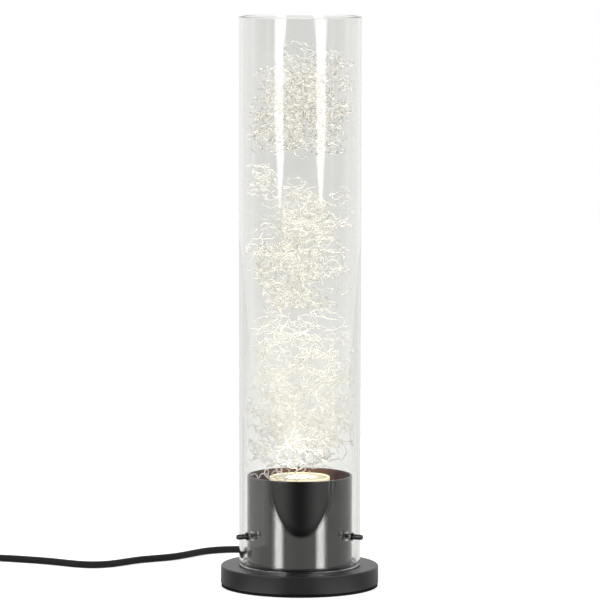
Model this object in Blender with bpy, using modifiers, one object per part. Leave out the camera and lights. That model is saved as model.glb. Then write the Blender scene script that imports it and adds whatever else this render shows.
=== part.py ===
"""Table lamp: a clear glass cylinder full of crumpled wire, lit from below by a spot bulb in a metal cup.

Metres, +Z up. The origin is on the table, under the middle of the base. The front is -Y. The cord
leaves the base at the back, +Y, curves round to the left, -X, and ends in a tied coil and a plug.
"""

import math
import random

import bmesh
import bpy
import numpy as np
from mathutils import Matrix

# Fits and cuts, shared by every piece
seat_gap = 0.0003
cut_overrun = 0.002
weld_distance = 0.000001

# Base: a heavy turned disc with a recess for the wiring, on a soft pad
base_diameter = 0.1312
base_thickness = 0.015
base_top_round = 0.0010
base_foot_round = 0.0009
base_plate = 0.0038
recess_width = 0.036
recess_back = 0.050
pad_thickness = 0.002
pad_inset = 0.0005
spacer_diameter = 0.066
spacer_thickness = 0.002

# Cup: spun metal, open at the top
cup_diameter = 0.0876
cup_height = 0.0731
cup_wall = 0.0014
cup_floor = 0.0015
cup_rim_round = 0.0004

# Glass cylinder
glass_diameter = 0.101
glass_wall = 0.003
glass_length = 0.4558
glass_edge_round = 0.0006

# Retaining pins that hold the glass to the cup, each with a clear sleeve and a nut
pin_count = 3
pin_diameter = 0.0044
pin_rise = 0.0273
pin_reach = 0.0094
pin_end_round = 0.0014
pin_tail = 0.0008
pin_nut_across = 0.007
pin_nut_thickness = 0.0032
sleeve_diameter = 0.0079
sleeve_neck_diameter = 0.0062

# Threaded tube that clamps cup, spacer and base together
tube_diameter = 0.010
tube_bore = 0.0074
tube_end = 0.001
tube_nut_across = 0.014
tube_nut_thickness = 0.003
washer_diameter = 0.018
washer_thickness = 0.0008

# Bracket and lampholder
bracket_sheet = 0.001
bracket_depth = 0.014
bracket_foot = 0.033
bracket_span = 0.049
holder_diameter = 0.028
holder_height = 0.0115
holder_ear_span = 0.047
holder_ear_width = 0.009
holder_ear_height = 0.004
holder_face = 0.003
holder_floor = 0.003
holder_screw_diameter = 0.003
holder_screw_head = 0.0056
holder_screw_head_height = 0.0018
holder_screw_tip = 0.0024
holder_screw_inset = 0.0035

# Reflector spot bulb with a twist-and-lock base
bulb_diameter = 0.050
bulb_height = 0.046
bulb_face_drop = 0.0015
bulb_neck_diameter = 0.024
bulb_neck_height = 0.012
bulb_rim_height = 0.007
bulb_wall = 0.0016
lens_thickness = 0.0025
lens_ledge = 0.0014
contact_spacing = 0.010
contact_shaft = 0.003
contact_head = 0.005
contact_shaft_length = 0.004
contact_head_length = 0.003
contact_root = 0.003
bulb_twist = math.radians(20)
bulb_flare_steps = 5
bulb_flare_power = 1.5

# Leads, terminal block and cord clamp inside the base
lead_diameter = 0.0016
lead_bore = 0.0026
lead_spread = 0.010
lead_pair = 0.0036
lead_bend = 0.0035
lead_insert = 0.004
lead_point_spacing = 0.004
block_width = 0.016
block_length = 0.012
block_height = 0.0075
block_pole_spacing = 0.008
block_back = 0.022
block_screw_spacing = 0.006
block_screw_diameter = 0.003
block_screw_length = 0.0022
clamp_width = 0.020
clamp_length = 0.006
clamp_bar = 0.002
clamp_inset = 0.0085
clamp_screw_spacing = 0.0145
clamp_screw_diameter = 0.0028
clamp_screw_head = 0.0048
clamp_screw_head_height = 0.0014
clamp_screw_bite = 0.0026

# Cord and the tapered strain relief where it leaves the base
cord_diameter = 0.006
cord_start_inset = 0.0135
cord_straight = 0.0065
cord_point_spacing = 0.0132
relief_plug_length = 0.010
relief_plug_diameter = 0.0095
relief_flange_diameter = 0.0115
relief_flange_thickness = 0.0015
relief_length = 0.025
relief_root_diameter = 0.0102
relief_tip_diameter = 0.0078

# In-line rocker switch
switch_x = -0.328
switch_y = 0.1305
switch_length = 0.062
switch_width = 0.026
switch_height = 0.018
switch_wall = 0.0018
switch_round = 0.0022
switch_block = 0.012
switch_cord_insert = 0.008
rocker_length = 0.016
rocker_width = 0.010
rocker_crown = 0.0040
rocker_dip = 0.0028
rocker_depth = 0.0026
rocker_taper = 0.0015
rocker_swing_room = 0.0010
rocker_tilt = math.radians(8)
pivot_drop = 0.0032
pivot_diameter = 0.002
pivot_seat = 0.0012
lug_thickness = 0.0018
lug_width = 0.0052
switch_screw_diameter = 0.0024
switch_screw_head = 0.0044
switch_screw_head_height = 0.0014
switch_screw_length = 0.011
switch_screw_aside = 0.0080

# Coil of spare cord, and the strap that ties it
coil_x = -0.3520
coil_y = 0.0668
coil_radius = 0.0440
coil_pitch = 0.0066
coil_layer = 0.0065
coil_turns = 5
coil_loop_points = 24
coil_climb_turns = 0.5
strap_thickness = 0.0008
strap_width = 0.008
strap_room = 0.0008

# Flat two-pin plug
plug_x = -0.390
plug_back = -0.0165
plug_length = 0.035
plug_width = 0.0253
plug_thickness = 0.0137
plug_neck_width = 0.0125
plug_neck_thickness = 0.0105
plug_round = 0.0022
plug_cord_insert = 0.008
plug_pin_diameter = 0.004
plug_pin_reach = 0.019
plug_pin_root = 0.006
plug_pin_spacing = 0.0186
plug_pin_end_round = 0.0012

# Wire nests, each one unbroken wire crushed into the glass. Heights are shares of the free glass
# between the cup's rim and the top of the glass: foot, densest height, top.
nest_wire_diameter = 0.0010
nest_wire_gap = 0.0006
nest_kink = 0.0085
nest_points = 136
nest_kink_shares = (0.75, 1.25)
nest_onward_share = 0.55
nest_drawn_share = 0.50
nest_random_share = 0.75
nest_sharpest_turn = math.radians(110)
nest_arrival = 0.0128
nest_wall_visit_every = 3
nest_tries = 60
nest_unwound = 4
nest_gap_samples = 9
nest_first_seed = 11
nest_height_shares = {
    "wire_nest_lower": (0.006, 0.15, 0.375),
    "wire_nest_middle": (0.380, 0.55, 0.665),
    "wire_nest_upper": (0.670, 0.84, 0.940),
}

# Crown of every screw head, as a share of its radius
head_crown_share = 0.7

# Smoothness of turned pieces
large_steps = 48
medium_steps = 28
small_steps = 16
tiny_steps = 10
round_steps = 3
spline_samples = 24
smooth_angle = math.radians(35)

# Heights that follow from the stack of pieces
base_bottom = pad_thickness + seat_gap
base_top = base_bottom + base_thickness
recess_ceiling = base_top - base_plate
cup_bottom = base_top + seat_gap + spacer_thickness + seat_gap
cup_floor_top = cup_bottom + cup_floor
cup_rim = cup_bottom + cup_height
glass_bottom = base_top + seat_gap
glass_top = glass_bottom + glass_length
pin_height = base_top + pin_rise
bulb_face = cup_rim - bulb_face_drop
bulb_bottom = bulb_face - bulb_height
holder_top = bulb_bottom - seat_gap
holder_bottom = holder_top - holder_height
bracket_top = holder_bottom - seat_gap
bracket_bottom = cup_floor_top + seat_gap
washer_bottom = bracket_bottom + bracket_sheet + seat_gap
upper_nut_bottom = washer_bottom + washer_thickness + seat_gap
tube_top = upper_nut_bottom + tube_nut_thickness + tube_end
lower_nut_bottom = recess_ceiling - seat_gap - tube_nut_thickness
tube_bottom = lower_nut_bottom - tube_end
cord_height = recess_ceiling - seat_gap - cord_diameter / 2
switch_middle = switch_height / 2
switch_right = switch_x + switch_length / 2
switch_left = switch_x - switch_length / 2
plug_middle = plug_thickness / 2

# Radii that follow from the diameters
base_radius = base_diameter / 2
cup_radius = cup_diameter / 2
cup_inner = cup_radius - cup_wall
glass_radius = glass_diameter / 2
glass_inner = glass_radius - glass_wall
bulb_radius = bulb_diameter / 2
cord_radius = cord_diameter / 2
cord_bore = cord_diameter + 2 * seat_gap

# Where the cord is held and ends, inwards from the back of the recess
clamp_back = recess_back - clamp_inset
cord_start_back = recess_back - cord_start_inset

# Where the cord lies on the table, read from the photograph and chosen by hand
cord_to_switch = [
    (0.0, cord_start_back, cord_height),
    (0.0, 0.0520, cord_height),
    (0.0, base_radius, cord_height),
    (0.0, 0.0790, cord_height),
    (0.0, 0.0935, cord_height),
    (-0.0010, 0.1080, 0.0090),
    (-0.0040, 0.1230, 0.0062),
    (-0.0105, 0.1380, 0.0038),
    (-0.0210, 0.1520, cord_radius),
    (-0.0350, 0.1630, cord_radius),
    (-0.0510, 0.1685, cord_radius),
    (-0.0670, 0.1670, cord_radius),
    (-0.0810, 0.1595, cord_radius),
    (-0.0915, 0.1480, cord_radius),
    (-0.1010, 0.1360, cord_radius),
    (-0.1120, 0.1255, cord_radius),
    (-0.1250, 0.1180, cord_radius),
    (-0.1385, 0.1100, cord_radius),
    (-0.1500, 0.0990, cord_radius),
    (-0.1610, 0.0890, cord_radius),
    (-0.1745, 0.0840, cord_radius),
    (-0.1885, 0.0868, cord_radius),
    (-0.2020, 0.0945, cord_radius),
    (-0.2160, 0.1030, cord_radius),
    (-0.2315, 0.1100, cord_radius),
    (-0.2475, 0.1162, cord_radius),
    (-0.2630, 0.1220, cord_radius),
    (-0.2740, 0.1263, 0.0047),
    (-0.2830, 0.1292, 0.0075),
    (switch_right + cord_straight, switch_y, switch_middle),
    (switch_right, switch_y, switch_middle),
    (switch_right - switch_cord_insert, switch_y, switch_middle),
]
coil_low = strap_thickness + seat_gap + cord_radius
coil_high = coil_low + coil_layer
coil_side = coil_x - coil_radius
cord_to_coil = [
    (switch_left + switch_cord_insert, switch_y, switch_middle),
    (switch_left, switch_y, switch_middle),
    (switch_left - cord_straight, switch_y, switch_middle),
    (-0.3765, 0.1278, 0.0082),
    (-0.3870, 0.1210, 0.0065),
    (-0.3935, 0.1110, 0.0050),
    (coil_side, 0.1000, coil_low),
    (coil_side, 0.0880, coil_low),
    (coil_side, coil_y + cord_diameter + seat_gap, coil_low),
]
cord_to_plug = [
    (coil_side, coil_y - cord_diameter - seat_gap, coil_high),
    (coil_side, 0.0530, coil_high),
    (-0.3959, 0.0430, 0.0092),
    (-0.3953, 0.0320, 0.0063),
    (-0.3940, 0.0210, 0.0040),
    (-0.3925, 0.0100, 0.0033),
    (-0.3910, 0.0010, 0.0044),
    (plug_x, plug_back + cord_straight, plug_middle),
    (plug_x, plug_back, plug_middle),
    (plug_x, plug_back - plug_cord_insert, plug_middle),
]

# Finishes: colour, roughness, metallic
matt_black = ((0.020, 0.020, 0.021), 0.55, 0.0)
black_rubber = ((0.025, 0.025, 0.025), 0.80, 0.0)
black_chrome = ((0.17, 0.17, 0.18), 0.10, 1.0)
clear_glass = ((0.88, 0.90, 0.89), 0.02, 0.0)
clear_plastic = ((0.80, 0.82, 0.82), 0.15, 0.0)
polished_dark = ((0.12, 0.12, 0.12), 0.12, 1.0)
zinc = ((0.60, 0.60, 0.58), 0.35, 1.0)
brass = ((0.75, 0.58, 0.28), 0.30, 1.0)
white_ceramic = ((0.85, 0.84, 0.80), 0.35, 0.0)
white_plastic = ((0.86, 0.86, 0.84), 0.40, 0.0)
warm_lens = ((1.00, 0.93, 0.74), 0.20, 0.0)
silver_wire = ((0.78, 0.78, 0.76), 0.25, 1.0)
black_textile = ((0.018, 0.018, 0.020), 0.85, 0.0)
black_plastic = ((0.022, 0.022, 0.023), 0.45, 0.0)
bright_metal = ((0.80, 0.80, 0.80), 0.20, 1.0)
brown_lead = ((0.20, 0.08, 0.04), 0.50, 0.0)
blue_lead = ((0.05, 0.12, 0.40), 0.50, 0.0)


def clear_scene():
    """Empty the scene, and make one collection for the lamp and one for its cutters."""
    for obj in list(bpy.data.objects):
        bpy.data.objects.remove(obj)
    made = []
    for name in ("glass_cylinder_table_lamp", "cutters"):
        collection = bpy.data.collections.new(name)
        bpy.context.scene.collection.children.link(collection)
        made.append(collection)
    return made


lamp, cutters = clear_scene()


def place(name, data, finish):
    """An object of the lamp with its own material, or a hidden cutter where it has no finish."""
    obj = bpy.data.objects.new(name, data)
    if finish is None:
        obj.hide_render = True
        obj.display_type = "WIRE"
        cutters.objects.link(obj)
        return obj
    lamp.objects.link(obj)
    colour, roughness, metallic = finish
    material = bpy.data.materials.new(name)
    material.use_nodes = True
    shader = material.node_tree.nodes["Principled BSDF"]
    shader.inputs["Base Color"].default_value = (*colour, 1.0)
    shader.inputs["Roughness"].default_value = roughness
    shader.inputs["Metallic"].default_value = metallic
    if finish in (clear_glass, clear_plastic):
        shader.inputs["Transmission Weight"].default_value = 1.0
    data.materials.append(material)
    return obj


def turned(name, outline, finish, steps):
    """A solid turned about Z from (radius, height) points that run down its outer side."""
    mesh = bpy.data.meshes.new(name)
    joins = [(index, index + 1) for index in range(len(outline) - 1)]
    if outline[0][0] > 0:
        joins.append((len(outline) - 1, 0))
    mesh.from_pydata([(radius, 0.0, height) for radius, height in outline], joins, [])
    obj = place(name, mesh, finish)
    screw = obj.modifiers.new("Screw", "SCREW")
    screw.axis = "Z"
    screw.steps = steps
    screw.render_steps = steps
    screw.use_merge_vertices = True
    screw.merge_threshold = weld_distance
    return obj


def corner(centre_radius, centre_height, size, start, end):
    """Points of a rounded corner in a turned outline, from one angle to another."""
    points = []
    for step in range(round_steps + 1):
        angle = math.radians(start + (end - start) * step / round_steps)
        points.append((centre_radius + size * math.cos(angle), centre_height + size * math.sin(angle)))
    return points


def ring(name, outer, inner, bottom, top, finish, steps):
    """A plain turned ring with square edges."""
    return turned(name, [(outer, top), (outer, bottom), (inner, bottom), (inner, top)], finish, steps)


def rod(name, diameter, length, finish, steps):
    """A round or many-sided rod along Z, with its middle at its own origin."""
    mesh = bpy.data.meshes.new(name)
    shape = bmesh.new()
    bmesh.ops.create_cone(
        shape,
        cap_ends=True,
        segments=steps,
        radius1=diameter / 2,
        radius2=diameter / 2,
        depth=length,
    )
    shape.to_mesh(mesh)
    shape.free()
    return place(name, mesh, finish)


def block(name, size, finish, rounding=0.0):
    """A box with its middle at its own origin, its edges rounded where rounding is given."""
    mesh = bpy.data.meshes.new(name)
    shape = bmesh.new()
    bmesh.ops.create_cube(shape, size=1.0, matrix=Matrix.Diagonal((*size, 1.0)))
    shape.to_mesh(mesh)
    shape.free()
    obj = place(name, mesh, finish)
    if rounding:
        bevel = obj.modifiers.new("Bevel", "BEVEL")
        bevel.width = rounding
        bevel.segments = 2
    return obj


def boolean(obj, other, operation="DIFFERENCE"):
    """Cut or join another object, which then stays among the cutters."""
    modifier = obj.modifiers.new(operation.title(), "BOOLEAN")
    modifier.operation = operation
    modifier.object = other


def tube(name, points, diameter, finish, resolution):
    """A round tube along a list of points, with closed ends."""
    curve = bpy.data.curves.new(name, "CURVE")
    curve.dimensions = "3D"
    curve.bevel_depth = diameter / 2
    curve.bevel_resolution = resolution
    curve.use_fill_caps = True
    spline = curve.splines.new("POLY")
    spline.points.add(len(points) - 1)
    for spline_point, point in zip(spline.points, points):
        spline_point.co = (*point, 1.0)
    return place(name, curve, finish)


def even_points(line, spacing):
    """Evenly spaced points along straight runs between points."""
    line = np.array(line)
    along = np.concatenate([[0.0], np.cumsum(np.linalg.norm(np.diff(line, axis=0), axis=1))])
    stations = np.linspace(0.0, along[-1], max(3, round(along[-1] / spacing)) + 1)
    return np.column_stack([np.interp(stations, along, line[:, axis]) for axis in range(3)])


def smooth_route(points, spacing):
    """Evenly spaced points on a Catmull-Rom curve through the route's own points."""
    route = np.array(points)
    padded = np.vstack([2 * route[0] - route[1], route, 2 * route[-1] - route[-2]])
    dense = []
    samples = np.linspace(0.0, 1.0, spline_samples, endpoint=False)[:, None]
    for before, start, end, after in zip(padded, padded[1:], padded[2:], padded[3:]):
        dense.append(
            start
            + samples * (end - before) / 2
            + samples**2 * (before - 2.5 * start + 2 * end - after / 2)
            + samples**3 * (1.5 * (start - end) + (after - before) / 2)
        )
    return even_points(np.vstack([*dense, route[-1:]]), spacing)


def nut(name, across, bore, bottom, thickness, finish):
    """A hexagonal nut with a plain bore, standing on a given height."""
    corners = across / math.cos(math.pi / 6)
    obj = rod(name, corners, thickness, finish, 6)
    obj.location.z = bottom + thickness / 2
    cutter = rod(f"{name}_bore", bore, thickness + 2 * cut_overrun, None, small_steps)
    cutter.location = obj.location
    boolean(obj, cutter)
    return obj


def screw_outline(shaft_diameter, head_diameter, head_height, shaft_length):
    """Outline of a screw with its head above Z = 0 and its shaft below."""
    head = head_diameter / 2
    shaft = shaft_diameter / 2
    return [
        (0.0, head_height),
        (head * head_crown_share, head_height),
        (head, head_height / 2),
        (head, 0.0),
        (shaft, 0.0),
        (shaft, -shaft_length),
        (0.0, -shaft_length),
    ]


def radial(obj, angle, distance, height):
    """Lay a piece that was made along Z outwards along a radius, at a height on the lamp."""
    obj.rotation_euler = (0.0, math.pi / 2, angle)
    obj.location = (distance * math.cos(angle), distance * math.sin(angle), height)


def slot_cutter(name, start, end, width, bottom, top):
    """An upright cutter that is round at both ends and straight between them."""
    curve = bpy.data.curves.new(name, "CURVE")
    curve.dimensions = "2D"
    curve.fill_mode = "BOTH"
    curve.extrude = (top - bottom) / 2
    spline = curve.splines.new("POLY")
    heading = math.atan2(end[1] - start[1], end[0] - start[0])
    points = []
    for centre, turn in ((end, heading - math.pi / 2), (start, heading + math.pi / 2)):
        for step in range(small_steps // 2 + 1):
            angle = turn + math.pi * step / (small_steps // 2)
            points.append((centre[0] + width / 2 * math.cos(angle), centre[1] + width / 2 * math.sin(angle)))
    spline.points.add(len(points) - 1)
    for spline_point, (x, y) in zip(spline.points, points):
        spline_point.co = (x, y, 0.0, 1.0)
    spline.use_cyclic_u = True
    guide = bpy.data.objects.new(f"{name}_outline", curve)
    cutters.objects.link(guide)
    bpy.context.view_layer.update()
    mesh = bpy.data.meshes.new_from_object(guide.evaluated_get(bpy.context.evaluated_depsgraph_get()))
    shape = bmesh.new()
    shape.from_mesh(mesh)
    bmesh.ops.remove_doubles(shape, verts=shape.verts, dist=weld_distance)
    shape.to_mesh(mesh)
    shape.free()
    bpy.data.objects.remove(guide)
    obj = place(name, mesh, None)
    obj.location.z = (top + bottom) / 2
    return obj


def build_base():
    """Disc, pad and spacer. The disc has a wiring recess below and a cord hole at the back."""
    top_round = base_top_round
    foot_round = base_foot_round
    bore = tube_diameter / 2 + seat_gap
    outline = corner(base_radius - top_round, base_top - top_round, top_round, 90, 0)
    outline += corner(base_radius - foot_round, base_bottom + foot_round, foot_round, 0, -90)
    outline += [(bore, base_bottom), (bore, base_top)]
    disc = turned("base_disc", outline, matt_black, large_steps)
    recess_round = recess_width / 2
    recess = slot_cutter(
        "recess",
        (0.0, 0.0),
        (0.0, recess_back - recess_round),
        recess_width,
        base_bottom - cut_overrun,
        recess_ceiling,
    )
    boolean(disc, recess)
    hole_length = base_radius - recess_back + recess_round
    hole = rod("cord_hole", relief_plug_diameter + 2 * seat_gap, hole_length, None, small_steps)
    hole.rotation_euler.x = math.pi / 2
    hole.location = (0.0, base_radius + cut_overrun - hole_length / 2, cord_height)
    boolean(disc, hole)
    for side in (-1, 1):
        depth = clamp_screw_bite + seat_gap
        screw_hole = rod(
            f"clamp_hole_{side}",
            clamp_screw_diameter + 2 * seat_gap,
            depth + cut_overrun,
            None,
            tiny_steps,
        )
        screw_hole.location = (
            side * clamp_screw_spacing / 2,
            clamp_back,
            recess_ceiling + (depth - cut_overrun) / 2,
        )
        boolean(disc, screw_hole)
    pad_radius = base_radius - pad_inset
    turned(
        "base_pad",
        [(0.0, pad_thickness), (pad_radius, pad_thickness), (pad_radius, 0.0), (0.0, 0.0)],
        black_rubber,
        large_steps,
    )
    ring(
        "cup_spacer",
        spacer_diameter / 2,
        bore,
        base_top + seat_gap,
        cup_bottom - seat_gap,
        black_plastic,
        medium_steps,
    )


def build_cup():
    """Spun cup, open at the top, with a hole for the threaded tube and one for each pin."""
    edge = cup_rim_round
    bore = tube_diameter / 2 + seat_gap
    outline = [
        (cup_radius - edge, cup_rim),
        (cup_radius, cup_rim - edge),
        (cup_radius, cup_bottom + edge),
        (cup_radius - edge, cup_bottom),
        (bore, cup_bottom),
        (bore, cup_floor_top),
        (cup_inner, cup_floor_top),
        (cup_inner, cup_rim - edge),
        (cup_inner + edge, cup_rim),
    ]
    return turned("cup_shell", outline, black_chrome, large_steps)


def build_glass():
    """Open glass cylinder that stands on the base, with a hole for each pin."""
    edge = glass_edge_round
    outline = [
        (glass_radius - edge, glass_top),
        (glass_radius, glass_top - edge),
        (glass_radius, glass_bottom + edge),
        (glass_radius - edge, glass_bottom),
        (glass_inner + edge, glass_bottom),
        (glass_inner, glass_bottom + edge),
        (glass_inner, glass_top - edge),
        (glass_inner + edge, glass_top),
    ]
    return turned("glass_cylinder", outline, clear_glass, large_steps)


def build_pins(cup, glass):
    """Pins at even angles from the back: each runs through glass and cup into a nut."""
    bore = pin_diameter + 2 * seat_gap
    nut_corner = pin_nut_across / 2 / math.cos(math.pi / 6)
    nut_face = math.sqrt(cup_inner**2 - nut_corner**2) - seat_gap
    pin_inner_end = nut_face - pin_nut_thickness - pin_tail
    pin_outer_end = glass_radius + pin_reach
    sleeve_inner = cup_radius + seat_gap
    sleeve_shoulder = math.sqrt(glass_inner**2 - (sleeve_diameter / 2) ** 2) - seat_gap
    pin_length = pin_outer_end - pin_inner_end
    cup_hole_length = cup_wall + 2 * cut_overrun
    glass_hole_length = glass_wall + 2 * cut_overrun
    for index in range(pin_count):
        angle = math.pi / 2 + 2 * math.pi * index / pin_count
        number = index + 1
        outline = [(0.0, pin_length)]
        outline += corner(pin_diameter / 2 - pin_end_round, pin_length - pin_end_round, pin_end_round, 90, 0)
        outline += [(pin_diameter / 2, 0.0), (0.0, 0.0)]
        pin = turned(f"glass_pin_{number}", outline, polished_dark, small_steps)
        radial(pin, angle, pin_inner_end, pin_height)
        sleeve = turned(
            f"pin_sleeve_{number}",
            [
                (sleeve_neck_diameter / 2, glass_radius - sleeve_inner),
                (sleeve_neck_diameter / 2, sleeve_shoulder - sleeve_inner),
                (sleeve_diameter / 2, sleeve_shoulder - sleeve_inner),
                (sleeve_diameter / 2, 0.0),
                (bore / 2, 0.0),
                (bore / 2, glass_radius - sleeve_inner),
            ],
            clear_plastic,
            small_steps,
        )
        radial(sleeve, angle, sleeve_inner, pin_height)
        pin_nut = nut(f"pin_nut_{number}", pin_nut_across, bore, 0.0, pin_nut_thickness, zinc)
        nut_middle = nut_face - pin_nut_thickness / 2
        radial(pin_nut, angle, nut_middle, pin_height)
        nut_bore = bpy.data.objects[f"pin_nut_{number}_bore"]
        radial(nut_bore, angle, nut_middle, pin_height)
        cup_hole = rod(f"cup_hole_{number}", bore, cup_hole_length, None, small_steps)
        radial(cup_hole, angle, cup_radius - cup_wall / 2, pin_height)
        boolean(cup, cup_hole)
        glass_hole_diameter = sleeve_neck_diameter + 2 * seat_gap
        glass_hole = rod(f"glass_hole_{number}", glass_hole_diameter, glass_hole_length, None, small_steps)
        radial(glass_hole, angle, glass_radius - glass_wall / 2, pin_height)
        boolean(glass, glass_hole)


def build_threaded_tube():
    """Hollow threaded tube with a nut under the base and a washer and nut in the cup."""
    outer = tube_diameter / 2
    bore = tube_diameter + 2 * seat_gap
    ring("threaded_tube", outer, tube_bore / 2, tube_bottom, tube_top, zinc, small_steps)
    nut("tube_nut_lower", tube_nut_across, bore, lower_nut_bottom, tube_nut_thickness, zinc)
    nut("tube_nut_upper", tube_nut_across, bore, upper_nut_bottom, tube_nut_thickness, zinc)
    ring(
        "tube_washer",
        washer_diameter / 2,
        bore / 2,
        washer_bottom,
        washer_bottom + washer_thickness,
        zinc,
        small_steps,
    )


def build_bracket():
    """Bent strip under the tube nut, whose two flanges carry the lampholder."""
    half_foot = bracket_foot / 2
    half_span = bracket_span / 2
    low = bracket_bottom + bracket_sheet
    high = bracket_top
    profile = [(-half_span, high), (-half_foot, high), (-half_foot, low), (half_foot, low)]
    profile += [(half_foot, high), (half_span, high)]
    shape = bmesh.new()
    line = [shape.verts.new((x, -bracket_depth / 2, z)) for x, z in profile]
    edges = [shape.edges.new(pair) for pair in zip(line, line[1:])]
    swept = bmesh.ops.extrude_edge_only(shape, edges=edges)
    moved = [item for item in swept["geom"] if isinstance(item, bmesh.types.BMVert)]
    bmesh.ops.translate(shape, verts=moved, vec=(0.0, bracket_depth, 0.0))
    bmesh.ops.recalc_face_normals(shape, faces=shape.faces)
    if shape.faces[0].normal.z < 0:
        bmesh.ops.reverse_faces(shape, faces=shape.faces)
    mesh = bpy.data.meshes.new("lampholder_bracket")
    shape.to_mesh(mesh)
    shape.free()
    bracket = place("lampholder_bracket", mesh, zinc)
    solidify = bracket.modifiers.new("Solidify", "SOLIDIFY")
    solidify.thickness = bracket_sheet
    solidify.offset = -1.0
    solidify.use_even_offset = True
    centre_hole = rod("bracket_hole", tube_diameter + 2 * seat_gap, bracket_foot / 2, None, small_steps)
    centre_hole.location.z = low
    boolean(bracket, centre_hole)
    return bracket


def build_lampholder(bracket):
    """Ceramic holder with two eared screws and two keyhole slots for the bulb's contacts."""
    holder = rod("lampholder", holder_diameter, holder_height, white_ceramic, medium_steps)
    holder.location.z = (holder_top + holder_bottom) / 2
    ears = block("holder_ears", (holder_ear_span, holder_ear_width, holder_ear_height), None)
    ears.location.z = holder_bottom + holder_ear_height / 2
    boolean(holder, ears, "UNION")
    for number, locked in ((1, math.pi / 2), (2, 3 * math.pi / 2)):
        reach = contact_spacing / 2
        start = (reach * math.cos(locked), reach * math.sin(locked))
        opened = locked + bulb_twist
        end = (reach * math.cos(opened), reach * math.sin(opened))
        head_width = contact_head + 2 * seat_gap
        shaft_width = contact_shaft + 2 * seat_gap
        chamber_top = holder_top - holder_face
        chamber = slot_cutter(
            f"contact_chamber_{number}", start, end, head_width, holder_bottom + holder_floor, chamber_top
        )
        neck = slot_cutter(
            f"contact_slot_{number}",
            start,
            end,
            shaft_width,
            chamber_top - seat_gap,
            holder_top + cut_overrun,
        )
        entry = rod(f"contact_entry_{number}", head_width, holder_face + cut_overrun, None, small_steps)
        entry.location = (*end, holder_top - (holder_face - cut_overrun) / 2 - seat_gap)
        for cutter in (chamber, neck, entry):
            boolean(holder, cutter)
    for number, side in ((1, -1), (2, 1)):
        screw_x = side * (holder_ear_span / 2 - holder_screw_inset)
        ear_top = holder_bottom + holder_ear_height
        shaft_length = ear_top + seat_gap - (bracket_top - bracket_sheet) + holder_screw_tip
        screw = turned(
            f"holder_screw_{number}",
            screw_outline(holder_screw_diameter, holder_screw_head, holder_screw_head_height, shaft_length),
            zinc,
            tiny_steps,
        )
        screw.location = (screw_x, 0.0, ear_top + seat_gap)
        screw_hole = rod(
            f"holder_screw_hole_{number}",
            holder_screw_diameter + 2 * seat_gap,
            holder_ear_height + 2 * cut_overrun + bracket_sheet,
            None,
            tiny_steps,
        )
        screw_hole.location = (screw_x, 0.0, holder_bottom + (holder_ear_height - bracket_sheet) / 2)
        boolean(holder, screw_hole)
        boolean(bracket, screw_hole)
        lead_hole = rod(f"holder_lead_hole_{number}", lead_bore, holder_floor, None, tiny_steps)
        lead_hole.location = (side * lead_spread / 2, 0.0, holder_bottom)
        boolean(holder, lead_hole)


def build_bulb():
    """Reflector bulb: a flared shell, a front lens, and two headed contacts."""
    neck = bulb_neck_diameter / 2
    flare_low = bulb_bottom + bulb_neck_height
    flare_high = bulb_face - bulb_rim_height
    flare = []
    for step in range(bulb_flare_steps + 1):
        share = step / bulb_flare_steps
        radius = neck + (bulb_radius - neck) * math.sin(share * math.pi / 2)
        flare.append((radius, flare_low + (flare_high - flare_low) * share**bulb_flare_power))
    rim_inner = bulb_radius - bulb_wall
    ledge = bulb_face - lens_thickness - 2 * seat_gap
    inside = [(0.0, flare_low)]
    inside += [(radius - bulb_wall, height + bulb_wall) for radius, height in flare[:-1]]
    inside += [(rim_inner - lens_ledge, ledge), (rim_inner, ledge), (rim_inner, bulb_face)]
    outside = [(bulb_radius, bulb_face)]
    outside += flare[::-1]
    outside += [(neck, bulb_bottom), (0.0, bulb_bottom)]
    body = turned("bulb_body", inside + outside, white_plastic, medium_steps)
    lens_radius = rim_inner - seat_gap
    lens_bottom = ledge + seat_gap
    lens_top = lens_bottom + lens_thickness
    turned(
        "bulb_lens",
        [(0.0, lens_top), (lens_radius, lens_top), (lens_radius, lens_bottom), (0.0, lens_bottom)],
        warm_lens,
        medium_steps,
    )
    shaft = contact_shaft / 2
    head = contact_head / 2
    for number, locked in ((1, math.pi / 2), (2, 3 * math.pi / 2)):
        contact = turned(
            f"bulb_contact_{number}",
            [
                (0.0, contact_root - seat_gap),
                (shaft, contact_root - seat_gap),
                (shaft, -contact_shaft_length),
                (head, -contact_shaft_length),
                (head, -contact_shaft_length - contact_head_length),
                (0.0, -contact_shaft_length - contact_head_length),
            ],
            brass,
            tiny_steps,
        )
        reach = contact_spacing / 2
        contact.location = (reach * math.cos(locked), reach * math.sin(locked), bulb_bottom)
        socket = rod(
            f"contact_socket_{number}", contact_shaft + 2 * seat_gap, 2 * contact_root, None, tiny_steps
        )
        socket.location = contact.location
        boolean(body, socket)


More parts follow.
